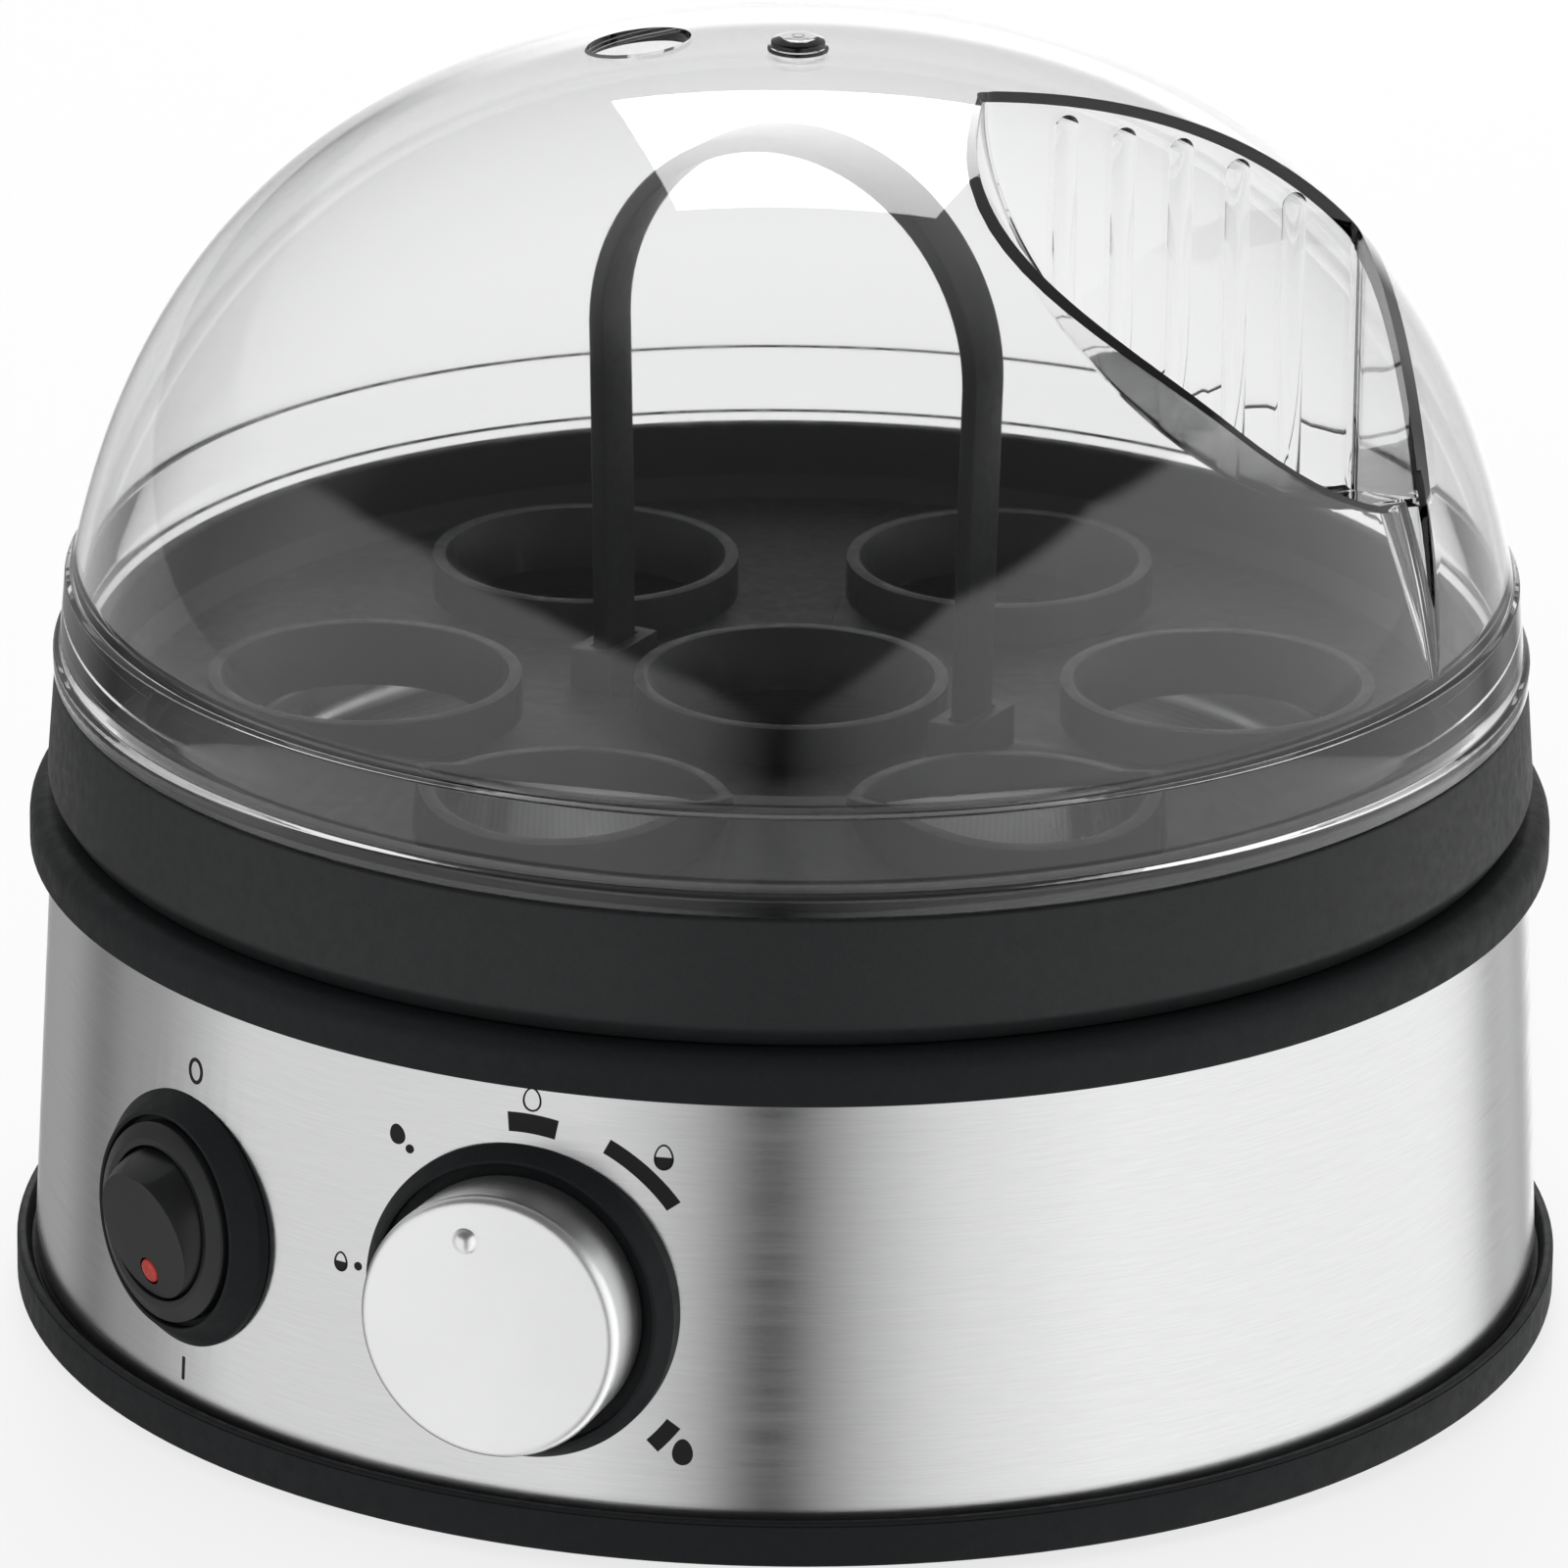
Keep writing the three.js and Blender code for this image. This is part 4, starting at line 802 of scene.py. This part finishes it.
def flat_oval(width, height, place, hole=None, narrow=0.0, lean=0.0):
    """An oval or egg-shaped patch or ring in the XY plane, in millimetres, leaning left by degrees"""
    bpy.ops.object.select_all(action="DESELECT")
    bpy.ops.mesh.primitive_circle_add(vertices=40, radius=MM / 2, fill_type="NGON")
    oval = bpy.context.object
    bpy.ops.object.mode_set(mode="EDIT")
    bpy.ops.transform.resize(value=(width, height, 1))
    bpy.ops.mesh.select_all(action="SELECT")
    if hole:
        bpy.ops.mesh.inset(thickness=hole * MM, depth=0)
        bpy.ops.mesh.delete(type="FACE")
    else:
        bpy.ops.mesh.inset(thickness=min(width, height) * MM / 5, depth=0)
    bpy.ops.object.mode_set(mode="OBJECT")
    turn = math.radians(lean)
    for vertex in oval.data.vertices:
        x, y = vertex.co.x, vertex.co.y
        x *= 1 - narrow * y / (height * MM / 2)
        vertex.co.x = x * math.cos(turn) - y * math.sin(turn) + place[0] * MM
        vertex.co.y = x * math.sin(turn) + y * math.cos(turn) + place[1] * MM
    return oval


def plain_strip(width, height, place):
    """A short straight stroke in the XY plane"""
    bpy.ops.object.select_all(action="DESELECT")
    bpy.ops.mesh.primitive_grid_add(x_subdivisions=2, y_subdivisions=6, size=MM)
    strip = bpy.context.object
    bpy.ops.object.mode_set(mode="EDIT")
    bpy.ops.transform.resize(value=(width, height, 1))
    bpy.ops.transform.translate(value=Vector((place[0], place[1], 0)) * MM)
    bpy.ops.object.mode_set(mode="OBJECT")
    return strip


def lower_half(oval, level):
    """Keeps what an oval has below a level"""
    only(oval)
    bpy.ops.object.mode_set(mode="EDIT")
    bpy.ops.mesh.select_all(action="SELECT")
    bpy.ops.mesh.bisect(plane_co=(0, level * MM, 0), plane_no=(0, 1, 0), clear_outer=True, use_fill=False)
    bpy.ops.object.mode_set(mode="OBJECT")
    return oval


def printed(pieces, angle, height, name, band):
    """Lays flat marks on the steel band as a thin film of ink"""
    marks = joined(pieces, name)
    marks.matrix_world = band_frame(angle, height) @ Matrix.Translation((0, 0, 0.004))
    bpy.context.view_layer.update()
    wrap = marks.modifiers.new("On the band", "SHRINKWRAP")
    wrap.wrap_method = "PROJECT"
    wrap.use_project_z = True
    wrap.use_negative_direction = True
    wrap.use_positive_direction = False
    wrap.target = band
    wrap.offset = 0.00002
    apply_modifier(marks, wrap)
    film = marks.modifiers.new("Film", "SOLIDIFY")
    film.thickness = 0.00003
    film.offset = 1
    apply_modifier(marks, film)
    only(marks)
    bpy.ops.object.transform_apply(location=True, rotation=True, scale=True)
    bpy.ops.object.mode_set(mode="EDIT")
    bpy.ops.mesh.select_all(action="SELECT")
    bpy.ops.mesh.normals_make_consistent(inside=False)
    bpy.ops.object.mode_set(mode="OBJECT")
    ink = material("ink", satin, finishes().ink, 0.55, specular=0.2)
    finished(marks, "base", ink, "gloss_black")


class COOKER_OT_printed_marks(bpy.types.Operator):
    """Printed marks: off and on beside the switch, egg hardness round the knob"""
    bl_idname = "cooker.printed_marks"
    bl_label = "Printed marks"

    def execute(self, context):
        props = sizes()
        band = bpy.data.objects["steel_band"]
        off = flat_oval(2.7, 3.3, (1.55, 19.05), 0.45)
        on = plain_strip(0.5, 2.9, (1.13, -18.85))
        printed([off, on], props.switch_at, props.switch_height, "switch_marks", band)
        soft, medium, hard = (1.01, 24.99), (16.92, 19.62), (19.93, -16.69)
        one, two = (-16.31, 17.81), (-23.81, 0.29)
        line, egg = 0.22, 0.14
        marks = [
            flat_bar(20.8, 23.2, -5, 10.8), flat_bar(21.8, 23.75, 26.6, 53.1),
            flat_bar(22.05, 24.0, 125.1, 134.65), flat_oval(2.3, 3.0, soft, line, egg),
            flat_oval(2.3, 3.2, medium, line, egg),
            lower_half(flat_oval(2.3, 3.2, medium, narrow=egg), medium[1]),
            flat_oval(2.4, 3.25, hard, narrow=egg),
            flat_oval(2.0, 2.5, one, narrow=egg, lean=13), flat_oval(1.1, 1.1, (-14.61, 16.27)),
            flat_oval(1.85, 2.5, two, line, egg), lower_half(flat_oval(1.85, 2.5, two, narrow=egg), two[1]),
            flat_oval(1.05, 1.05, (-21.39, 0.23)),
        ]
        printed(marks, props.knob_at, props.knob_height, "knob_marks", band)
        return {"FINISHED"}


# Egg tray

HANDLE_AT = math.radians(-30)
SOCKET_FROM_AXIS = 25.2


class COOKER_OT_egg_tray(bpy.types.Operator):
    """Egg tray: outer ring, floor, seven seats and the handle's sockets"""
    bl_idname = "cooker.egg_tray"
    bl_label = "Egg tray"

    def execute(self, context):
        props = sizes()
        top, floor = props.tray_top / MM, props.tray_floor / MM
        under = floor - 2.2
        tray = turned_piece("tray_body", [
            (0, under), (78.7, under), (78.7, 61.8, 0.3), (80.5, 61.8, 0.3), (80.5, under, 0.3),
            (86.6, under, 0.3), (86.6, 63.3, 0.3), (88.9, 63.3, 0.5), (90.7, 66, 2.5), (89.7, top, 0.5),
            (86.05, top, 0.3), (86.05, top + 2.4, 0.4), (84.1, top + 2.4, 0.4), (84.1, floor + 2.4, 0.6),
            (81.8, floor, 1), (0, floor),
        ], props.ring_facets)
        seats = [(0, 0), *ring_places(props.seat_circle / MM, 6)]
        # What is joined starts inside the floor and each cup passes through it, so no faces coincide
        for place in seats:
            combine(tray, plain_rod("rim", 19.2, under + 1, floor + 5, props.small_facets, place), "UNION")
        slope = (17.6 - 15.2) / 7.21
        for place in seats:
            cup = plain_rod("cup", 15.2 - 2 * slope, under - 2, floor + 7.21, props.small_facets, place,
                            17.6 + 2.2 * slope)
            combine(tray, cup)
        turn = Matrix.Rotation(HANDLE_AT, 4, "Z")
        for side in (-1, 1):
            across = side * SOCKET_FROM_AXIS
            boss = plain_block("boss", 5.8, 11, 6.2, (across, 0, under + 4.1))
            combine(tray, placed(boss, turn), "UNION")
            combine(tray, placed(plain_block("slot", 2.6, 7.8, 12, (across, 0, under + 3.6)), turn))
        softened(tray, 0.35, 2, 50)
        finished(tray, "tray", tray_plastic(), "tray_plastic", "egg_tray")
        return {"FINISHED"}


class COOKER_OT_tray_handle(bpy.types.Operator):
    """Arch handle: a flat strip bent over the tray"""
    bl_idname = "cooker.tray_handle"
    bl_label = "Carry handle"

    def execute(self, context):
        props = sizes()
        width, thick = props.handle_width / MM, props.handle_thickness / MM
        arch, centre, foot = 27 - thick / 2, 119, 66.9
        strip = start_point("handle_strip")
        x, y = thick / 2, width / 2
        corners = [(-x, -y), (x, -y), (x, y), (-x, y)]
        draw_chain([Vector((SOCKET_FROM_AXIS + x, y, foot)) * MM for x, y in corners + corners[:1]])
        bpy.ops.mesh.select_all(action="SELECT")
        bpy.ops.mesh.remove_doubles(threshold=MM / 1000)
        bpy.ops.mesh.edge_face_add()
        spread = arch - SOCKET_FROM_AXIS
        leg = ((0, 10.3), (spread / 3, 17.8), (spread * 2 / 3, centre - 95))
        for across, rise in leg:
            push_out(Vector((across, 0, rise)) * MM)
        bpy.ops.mesh.spin(steps=48, angle=math.pi, center=(0, 0, centre * MM), axis=(0, 1, 0))
        for across, rise in reversed(leg):
            push_out(Vector((across, 0, -rise)) * MM)
        tidy_mesh()
        softened(strip, 0.45, 3, 50)
        for side in (-1, 1):
            for edge in (-1, 1):
                place = (side * SOCKET_FROM_AXIS + edge, 0)
                combine(strip, plain_rod("barb", 1.0, foot, 69.4, 4, place, 1.4), "UNION")
        placed(strip, Matrix.Rotation(HANDLE_AT, 4, "Z"))
        finished(strip, "tray", tray_plastic(), "tray_plastic", "tray_handle")
        return {"FINISHED"}


# Lid

# The grip recess: where it faces, and in millimetres its wall's distance from the axis and its left end
GRIP_AT = math.radians(-65.2)
GRIP_DISTANCE = 18.3
GRIP_LEFT = 16.2
GRIP_OUT = Vector((math.cos(GRIP_AT), math.sin(GRIP_AT), 0))
GRIP_SIDE = Vector((-math.sin(GRIP_AT), math.cos(GRIP_AT), 0))


def dome_outline(inset, steps):
    """Outline of the dome from its foot to the axis, in millimetres, moved inwards square to itself"""
    top = sizes().lid_top / MM
    controls = [Vector((87.6, 91.7)), Vector((80.4, 127.7)), Vector((58, top)), Vector((0, top))]
    nudge = 0.001
    outline = []
    for step in range(steps + 1):
        share = step / steps
        ahead, behind = min(share + nudge, 1.0), max(share - nudge, 0.0)
        along = curve_point(controls, ahead) - curve_point(controls, behind)
        inwards = Vector((-along.y, along.x)).normalized()
        here = curve_point(controls, share) + inwards * inset
        outline.append((max(here.x, 0.0) if step < steps else 0.0, here.y))
    return outline


def grip_outline(grow):
    """Outline of the recess in the plane of its fluted wall: across and height in millimetres"""
    left, right, floor, sky = GRIP_LEFT - grow, 66.5 + grow, 97.9 - grow, 175
    controls = [Vector((left, 152 - grow)), Vector((left + 0.8, 132 - grow)),
                Vector((42, floor + 5.1)), Vector((60, floor))]
    scoop = [tuple(curve_point(controls, step / 24)) for step in range(25)]
    return [(left, sky), *scoop, (right, floor), (right, sky)]


def grip_space(name, grow, fold):
    """The recess as a solid: its outline drawn out from the wall's plane to the mouth at a slope"""
    piece = start_point(name)
    outline = grip_outline(grow)
    draw_chain([Vector((x, y, -grow)) * MM for x, y in outline + outline[:1]])
    bpy.ops.mesh.select_all(action="SELECT")
    bpy.ops.mesh.remove_doubles(threshold=MM / 1000)
    bpy.ops.mesh.edge_face_add()
    reach, steps = 58.0, 12
    first = [grow] if grow else []
    for step in first + [reach / steps] * steps:
        push_out(Vector((0, 0, step)) * MM)
    bpy.ops.mesh.select_all(action="SELECT")
    bpy.ops.mesh.normals_make_consistent(inside=False)
    bpy.ops.object.mode_set(mode="OBJECT")
    for vertex in piece.data.vertices:
        out = max(vertex.co.z / MM, 0.0)
        near_left = max(0.0, 1 - (vertex.co.x / MM - GRIP_LEFT) / 24)
        vertex.co.x -= (0.3 + 0.3 * near_left * near_left) * out * MM
        vertex.co.y += 0.33 * out * MM
    back = [edge.index for edge in piece.data.edges
            if all(piece.data.vertices[v].co.z < (0.01 - grow) * MM for v in edge.vertices)]
    only(piece)
    bpy.ops.object.mode_set(mode="EDIT")
    bpy.ops.mesh.select_all(action="DESELECT")
    bpy.ops.mesh.select_mode(type="EDGE")
    bpy.ops.object.mode_set(mode="OBJECT")
    for index in back:
        piece.data.edges[index].select = True
    bpy.ops.object.mode_set(mode="EDIT")
    bpy.ops.mesh.bevel(offset=fold * MM, segments=4, clamp_overlap=True)
    bpy.ops.mesh.select_mode(type="VERT")
    tidy_mesh()
    axes = Matrix((GRIP_SIDE, UP, GRIP_OUT)).transposed().to_4x4()
    return placed(piece, Matrix.Translation(GRIP_OUT * GRIP_DISTANCE * MM) @ axes)


def runout_cone(grow, facets):
    """A slim cone that carries the recess down the dome to a point"""
    tip = Vector((*at_angle(86.6, -28.4), 93.6))
    head = Vector((*at_angle(79.0, -24.0), 115.0))
    along = head - tip
    length = along.length + grow
    cone = plain_rod("runout", 0.4 + grow, -grow, length - grow, facets, top_radius=3.4 + grow)
    turn = along.to_track_quat("Z", "Y").to_matrix().to_4x4()
    return placed(cone, Matrix.Translation(tip * MM) @ turn)


def flute_ridges():
    """Five upright ridges with round tops on the recess wall"""
    radius, proud, foot = 1.85, 1, 95
    outline = dome_outline(0, 60)
    ridges = []
    for item in range(5):
        across = 27.1 + 7.7 * item
        from_axis = math.hypot(GRIP_DISTANCE, across)
        top = next(z for r, z in outline if r <= from_axis) - 2.8
        shaft = turned_piece("ridge", [(0, foot), (radius, foot), (radius, top, 1.8), (0, top)], 32, 8)
        place = GRIP_OUT * (GRIP_DISTANCE + proud - radius) + GRIP_SIDE * across
        ridges.append(placed(shaft, Matrix.Translation(place * MM)))
    return ridges


class COOKER_OT_lid(bpy.types.Operator):
    """Clear dome lid with its rim, grip recess, nub and steam vent"""
    bl_idname = "cooker.lid"
    bl_label = "Clear lid"

    def execute(self, context):
        props = sizes()
        wall = props.lid_wall / MM
        lid = turned_piece("lid_dome", [
            (0, 79.4), (89.9, 79.4, 0.3), (89.9, 81.8, 0.5), (89.1, 82.2, 0.3), (88.4, 91.0, 0.4),
            (87.75, 91.4, 0.2), *dome_outline(0, 56),
        ], props.ring_facets)
        inner = turned_piece("lid_inner", [
            (0, 77.4), (86.3, 77.4), (86.3, 81.8, 0.5), (85.9, 91.2), *dome_outline(wall, 56),
        ], props.ring_facets)
        recess = combine(grip_space("recess", 0, 1.2), runout_cone(0, 24), "UNION")
        for ridge in flute_ridges():
            combine(recess, ridge)
        thin = props.recess_wall / MM
        shell = combine(grip_space("recess_shell", thin, thin + 0.6), runout_cone(thin, 24), "UNION")
        combine(lid, recess)
        combine(inner, shell)
        combine(lid, inner)
        nub = turned_piece("nub", [
            (0, 155.6), (3.7, 155.6), (3.7, 157.2, 0.3), (3.3, 157.3, 0.1), (3.3, 157.9, 0.4),
            (2.2, 158.4, 1.5), (0.7, 158.5, 0.1), (0.6, 158.1), (0, 158.0),
        ], props.small_facets, 6)
        combine(lid, nub, "UNION")
        combine(lid, plain_rod("vent", 6.3, 148, 160, props.small_facets, at_angle(20.6, 158.5)))
        finished(lid, "lid", material("clear_plastic", clear_plastic), "clear_plastic", "lid", smooth=24)
        return {"FINISHED"}


# Inner pieces keep their fixed shapes and get their finishes

INNER = {
    "plate_gasket": ("silicone", grained, (0.55, 0.54, 0.50), 0.6, 0.4),
    "heating_element": ("element_steel", satin, (0.42, 0.42, 0.43), 0.4),
    "plate_bracket": ("bracket_steel", satin, (0.58, 0.59, 0.60), 0.35),
    "fuse_clip": ("bracket_steel", satin, (0.58, 0.59, 0.60), 0.35),
    "earth_tag": ("brass", satin, (0.60, 0.44, 0.17), 0.35),
    "plate_nut": ("brass", satin, (0.60, 0.44, 0.17), 0.35),
    "regulator_nut": ("brass", satin, (0.60, 0.44, 0.17), 0.35),
    "control_shaft": ("brass", satin, (0.60, 0.44, 0.17), 0.35),
    "limit_thermostat": ("ceramic", grained, (0.72, 0.68, 0.60), 0.7, 0.3),
    "thermal_fuse": ("ceramic", grained, (0.72, 0.68, 0.60), 0.7, 0.3),
    "terminal_block": ("ceramic", grained, (0.72, 0.68, 0.60), 0.7, 0.3),
    "regulator_body": ("phenolic", grained, (0.035, 0.022, 0.016), 0.5, 0.4),
    "live_lead": ("brown_insulation", grained, (0.10, 0.04, 0.018), 0.45, 0.4),
    "switched_lead": ("brown_insulation", grained, (0.10, 0.04, 0.018), 0.45, 0.4),
    "heater_lead": ("brown_insulation", grained, (0.10, 0.04, 0.018), 0.45, 0.4),
    "neutral_lead": ("blue_insulation", grained, (0.02, 0.07, 0.32), 0.45, 0.4),
}
METALS = {"element_steel", "bracket_steel", "brass"}


class COOKER_OT_inner_finishes(bpy.types.Operator):
    """Finishes of the pieces inside the base"""
    bl_idname = "cooker.inner_finishes"
    bl_label = "Inner finishes"

    def execute(self, context):
        for node, (key, make, *values) in INNER.items():
            if key in METALS:
                look = material(key, make, *values, metallic=1.0)
            else:
                look = material(key, make, *values)
            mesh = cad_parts[node].data
            mesh.materials.clear()
            mesh.materials.append(look)
        return {"FINISHED"}


# Stage

# The studio wall that metal and gloss show: (azimuth in degrees from +X, level).
# Softboxes stand left and right of the front with a dark gap between them, and flags stand behind them.
STUDIO_WALL = (
    (-180, 0.88), (-120, 0.94), (-104, 0.62), (-97, 0.26), (-92, 0.0), (-87, 0.26), (-78, 0.62),
    (-66, 0.94), (-40, 1.18), (28, 1.17), (39, 1.03), (47, 0.50), (58, 0.64), (68, 0.38), (77, 1.20),
    (94, 1.25), (102, 0.34), (126, 0.42), (140, 0.20), (148, 0.36), (158, 0.40), (168, 0.60),
    (176, 0.82), (180, 0.90),
)
# Sine of the elevation up to which the softboxes reach, above which the studio is dim
WALL_TOP = (
    (-180, 0.38), (-160, 0.42), (-133, 0.39), (-105, 0.30), (-93, 0.22), (-85, 0.27), (-62, 0.48),
    (-28, 0.60), (0, 0.58), (58, 0.40), (76, 0.13), (104, 0.13), (122, 0.27), (150, 0.25), (180, 0.38),
)
BRIGHTEST = 1.25
# How softly the softboxes end at their top
WALL_EDGE = (-0.02, 0.03)
# The ceiling brightens from front to back: where it does so, by direction, and its two levels
CEILING_REACH = (-0.1, 0.4)
CEILING_LEVELS = (0.12, 0.55)
# What lights the object from all round, and how white the floor shows
PLAIN_LEVEL = 0.65
PAPER_SHARE = 0.78
# The camera of the photograph: place in metres, angles in radians, lens in millimetres
CAMERA_PLACE = (-0.000746, -1.500952, 0.615375)
CAMERA_DIP = 0.352687
CAMERA_ROLL = 0.010703
CAMERA_LENS = 300.16
WHITE = (1, 1, 1, 1)


def soft_lamp(name, place, aim, width, height, power, mirrored=False):
    """A softbox, which glossy surfaces mirror only if asked"""
    bpy.ops.object.light_add(type="AREA", location=place)
    lamp = bpy.context.object
    lamp.name = name
    lamp.data.shape = "RECTANGLE"
    lamp.data.size = width
    lamp.data.size_y = height
    lamp.data.energy = power
    lamp.rotation_euler = (Vector(aim) - Vector(place)).to_track_quat("-Z", "Y").to_euler()
    lamp.visible_camera = False
    lamp.visible_transmission = False
    lamp.visible_glossy = mirrored
    return lamp


class Studio:
    """Helpers for the world's nodes"""

    def __init__(self, world):
        world.use_nodes = True
        self.tree = world.node_tree
        self.plain = self.tree.nodes["Background"]
        self.path = self.add("ShaderNodeLightPath").outputs

    def add(self, kind, **values):
        node = self.tree.nodes.new(kind)
        for key, value in values.items():
            setattr(node, key, value)
        return node

    def link(self, source, socket):
        self.tree.links.new(source, socket)

    def sum(self, operation, first, second=None):
        """Arithmetic on two values, each a socket or a number"""
        node = self.add("ShaderNodeMath", operation=operation)
        for socket, value in zip(node.inputs, (first, second)):
            if isinstance(value, (int, float)):
                socket.default_value = value
            elif value is not None:
                self.link(value, socket)
        return node.outputs["Value"]

    def ranged(self, value, reach, levels=(0, 1), **kind):
        """A value over a reach becomes a number between two levels"""
        node = self.add("ShaderNodeMapRange", **kind)
        self.link(value, node.inputs["Value"])
        for key, number in zip(("From Min", "From Max", "To Min", "To Max"), (*reach, *levels)):
            node.inputs[key].default_value = number
        return node.outputs["Result"]

    def round_ramp(self, turn, stops, top):
        """A level by azimuth: the ramp holds shares of the top level"""
        ramp = self.add("ShaderNodeValToRGB")
        elements = ramp.color_ramp.elements
        for degrees, _ in stops[1:-1]:
            elements.new((degrees + 180) / 360)
        for element, (degrees, level) in zip(elements, stops):
            element.position = (degrees + 180) / 360
            element.color = (level / top,) * 3 + (1,)
        self.link(turn, ramp.inputs["Fac"])
        return self.sum("MULTIPLY", ramp.outputs["Color"], top)


class COOKER_OT_stage(bpy.types.Operator):
    """Pale floor, soft studio light and camera"""
    bl_idname = "cooker.stage"
    bl_label = "Stage"

    def execute(self, context):
        scene = context.scene
        bpy.ops.object.select_all(action="DESELECT")
        bpy.ops.mesh.primitive_plane_add(size=6, location=(0, 0, cad_box[0].z))
        floor = context.object
        floor.name = "floor"
        paper = Finish("floor_paper", finishes().floor, 0.6, specular=0.2)
        paper.mottled(paper.noise(3.0), 0.995, 1.005)
        output = paper.nodes["Material Output"]
        path = paper.node("ShaderNodeLightPath")
        white = paper.node("ShaderNodeEmission")
        white.inputs["Color"].default_value = WHITE
        white.inputs["Strength"].default_value = 1.0
        both = paper.node("ShaderNodeMixShader")
        both.inputs["Fac"].default_value = PAPER_SHARE
        paper.links.new(paper.shader.outputs["BSDF"], both.inputs[1])
        paper.links.new(white.outputs["Emission"], both.inputs[2])
        seen = path.outputs["Is Camera Ray"]
        for ray in ("Is Glossy Ray", "Is Transmission Ray"):
            either = paper.node("ShaderNodeMath", operation="MAXIMUM")
            paper.links.new(seen, either.inputs[0])
            paper.links.new(path.outputs[ray], either.inputs[1])
            seen = either.outputs["Value"]
        choose = paper.node("ShaderNodeMixShader")
        paper.links.new(seen, choose.inputs["Fac"])
        paper.links.new(paper.shader.outputs["BSDF"], choose.inputs[1])
        paper.links.new(both.outputs["Shader"], choose.inputs[2])
        paper.links.new(choose.outputs["Shader"], output.inputs["Surface"])
        floor.data.materials.append(paper.material)
        floor.visible_glossy = False

        world = bpy.data.worlds.new("studio") if not scene.world else scene.world
        scene.world = world
        studio = Studio(world)
        studio.plain.inputs["Color"].default_value = WHITE
        seen = studio.sum("MAXIMUM", studio.path["Is Camera Ray"], studio.path["Is Transmission Ray"])
        backdrop = studio.sum("MULTIPLY", seen, 1 - PLAIN_LEVEL)
        studio.link(studio.sum("ADD", backdrop, PLAIN_LEVEL), studio.plain.inputs["Strength"])
        way = studio.add("ShaderNodeSeparateXYZ")
        studio.link(studio.add("ShaderNodeTexCoord").outputs["Generated"], way.inputs["Vector"])
        turn = studio.sum("ARCTAN2", way.outputs["Y"], way.outputs["X"])
        turn = studio.sum("ADD", studio.sum("DIVIDE", turn, 2 * math.pi), 0.5)
        over_top = studio.sum("SUBTRACT", way.outputs["Z"], studio.round_ramp(turn, WALL_TOP, 1.0))
        level = studio.add("ShaderNodeMix", data_type="FLOAT")
        above = studio.ranged(over_top, WALL_EDGE, interpolation_type="SMOOTHSTEP")
        studio.link(above, level.inputs["Factor"])
        studio.link(studio.round_ramp(turn, STUDIO_WALL, BRIGHTEST), level.inputs["A"])
        studio.link(studio.ranged(way.outputs["Y"], CEILING_REACH, CEILING_LEVELS), level.inputs["B"])
        mirrored = studio.add("ShaderNodeBackground")
        mirrored.inputs["Color"].default_value = WHITE
        studio.link(level.outputs["Result"], mirrored.inputs["Strength"])
        choose = studio.add("ShaderNodeMixShader")
        studio.link(studio.path["Is Glossy Ray"], choose.inputs["Fac"])
        studio.link(studio.plain.outputs["Background"], choose.inputs[1])
        studio.link(mirrored.outputs["Background"], choose.inputs[2])
        studio.link(choose.outputs["Shader"], studio.tree.nodes["World Output"].inputs["Surface"])

        soft_lamp("back_softbox", (0.034, 0.972, 1.11), (0, 0, 0.12), 0.54, 0.78, 9.3, mirrored=True)
        soft_lamp("front_softbox", (-0.5, -1.2, 1.0), (0, 0, 0.08), 0.8, 0.8, 4)
        soft_lamp("top_softbox", (0.1, 0.2, 1.4), (0, 0, 0.08), 0.9, 0.6, 1)

        bpy.ops.object.camera_add(location=CAMERA_PLACE)
        camera = context.object
        camera.name = "photo_camera"
        camera.data.sensor_width = 36
        camera.data.sensor_fit = "AUTO"
        camera.data.lens = CAMERA_LENS
        camera.data.clip_end = 20
        turn = Matrix.Rotation(math.pi / 2 - CAMERA_DIP, 4, "X") @ Matrix.Rotation(CAMERA_ROLL, 4, "Z")
        camera.rotation_euler = turn.to_euler()
        scene.camera = camera
        scene.view_settings.view_transform = "Standard"
        return {"FINISHED"}


# In the order in which main calls them
OPERATORS = (
    COOKER_OT_stage, COOKER_OT_base_pan, COOKER_OT_feet, COOKER_OT_pan_screws, COOKER_OT_steel_band,
    COOKER_OT_collar, COOKER_OT_heating_plate, COOKER_OT_cord_gland, COOKER_OT_knob_set,
    COOKER_OT_switch_set, COOKER_OT_printed_marks, COOKER_OT_egg_tray, COOKER_OT_tray_handle,
    COOKER_OT_lid, COOKER_OT_inner_finishes,
)


class COOKER_PT_panel(bpy.types.Panel):
    """Lists the pieces, the sizes and the colours"""
    bl_idname = "COOKER_PT_panel"
    bl_label = "Egg Cooker"
    bl_space_type = "VIEW_3D"
    bl_region_type = "UI"
    bl_category = "Egg Cooker"

    def draw(self, context):
        for operator in OPERATORS:
            self.layout.operator(operator.bl_idname)
        for group in (context.scene.cooker_sizes, context.scene.cooker_finishes):
            column = self.layout.column()
            for key in group.__annotations__:
                column.prop(group, key)


CLASSES = (CookerSizes, CookerFinishes, *OPERATORS, COOKER_PT_panel)


def register():
    for kind in CLASSES:
        bpy.utils.register_class(kind)
    bpy.types.Scene.cooker_sizes = PointerProperty(type=CookerSizes)
    bpy.types.Scene.cooker_finishes = PointerProperty(type=CookerFinishes)


def unregister():
    del bpy.types.Scene.cooker_finishes
    del bpy.types.Scene.cooker_sizes
    for kind in reversed(CLASSES):
        bpy.utils.unregister_class(kind)


def main():
    register()
    for operator in OPERATORS:
        getattr(bpy.ops.cooker, operator.bl_idname.split(".")[1])()


if __name__ == "__main__":
    main()
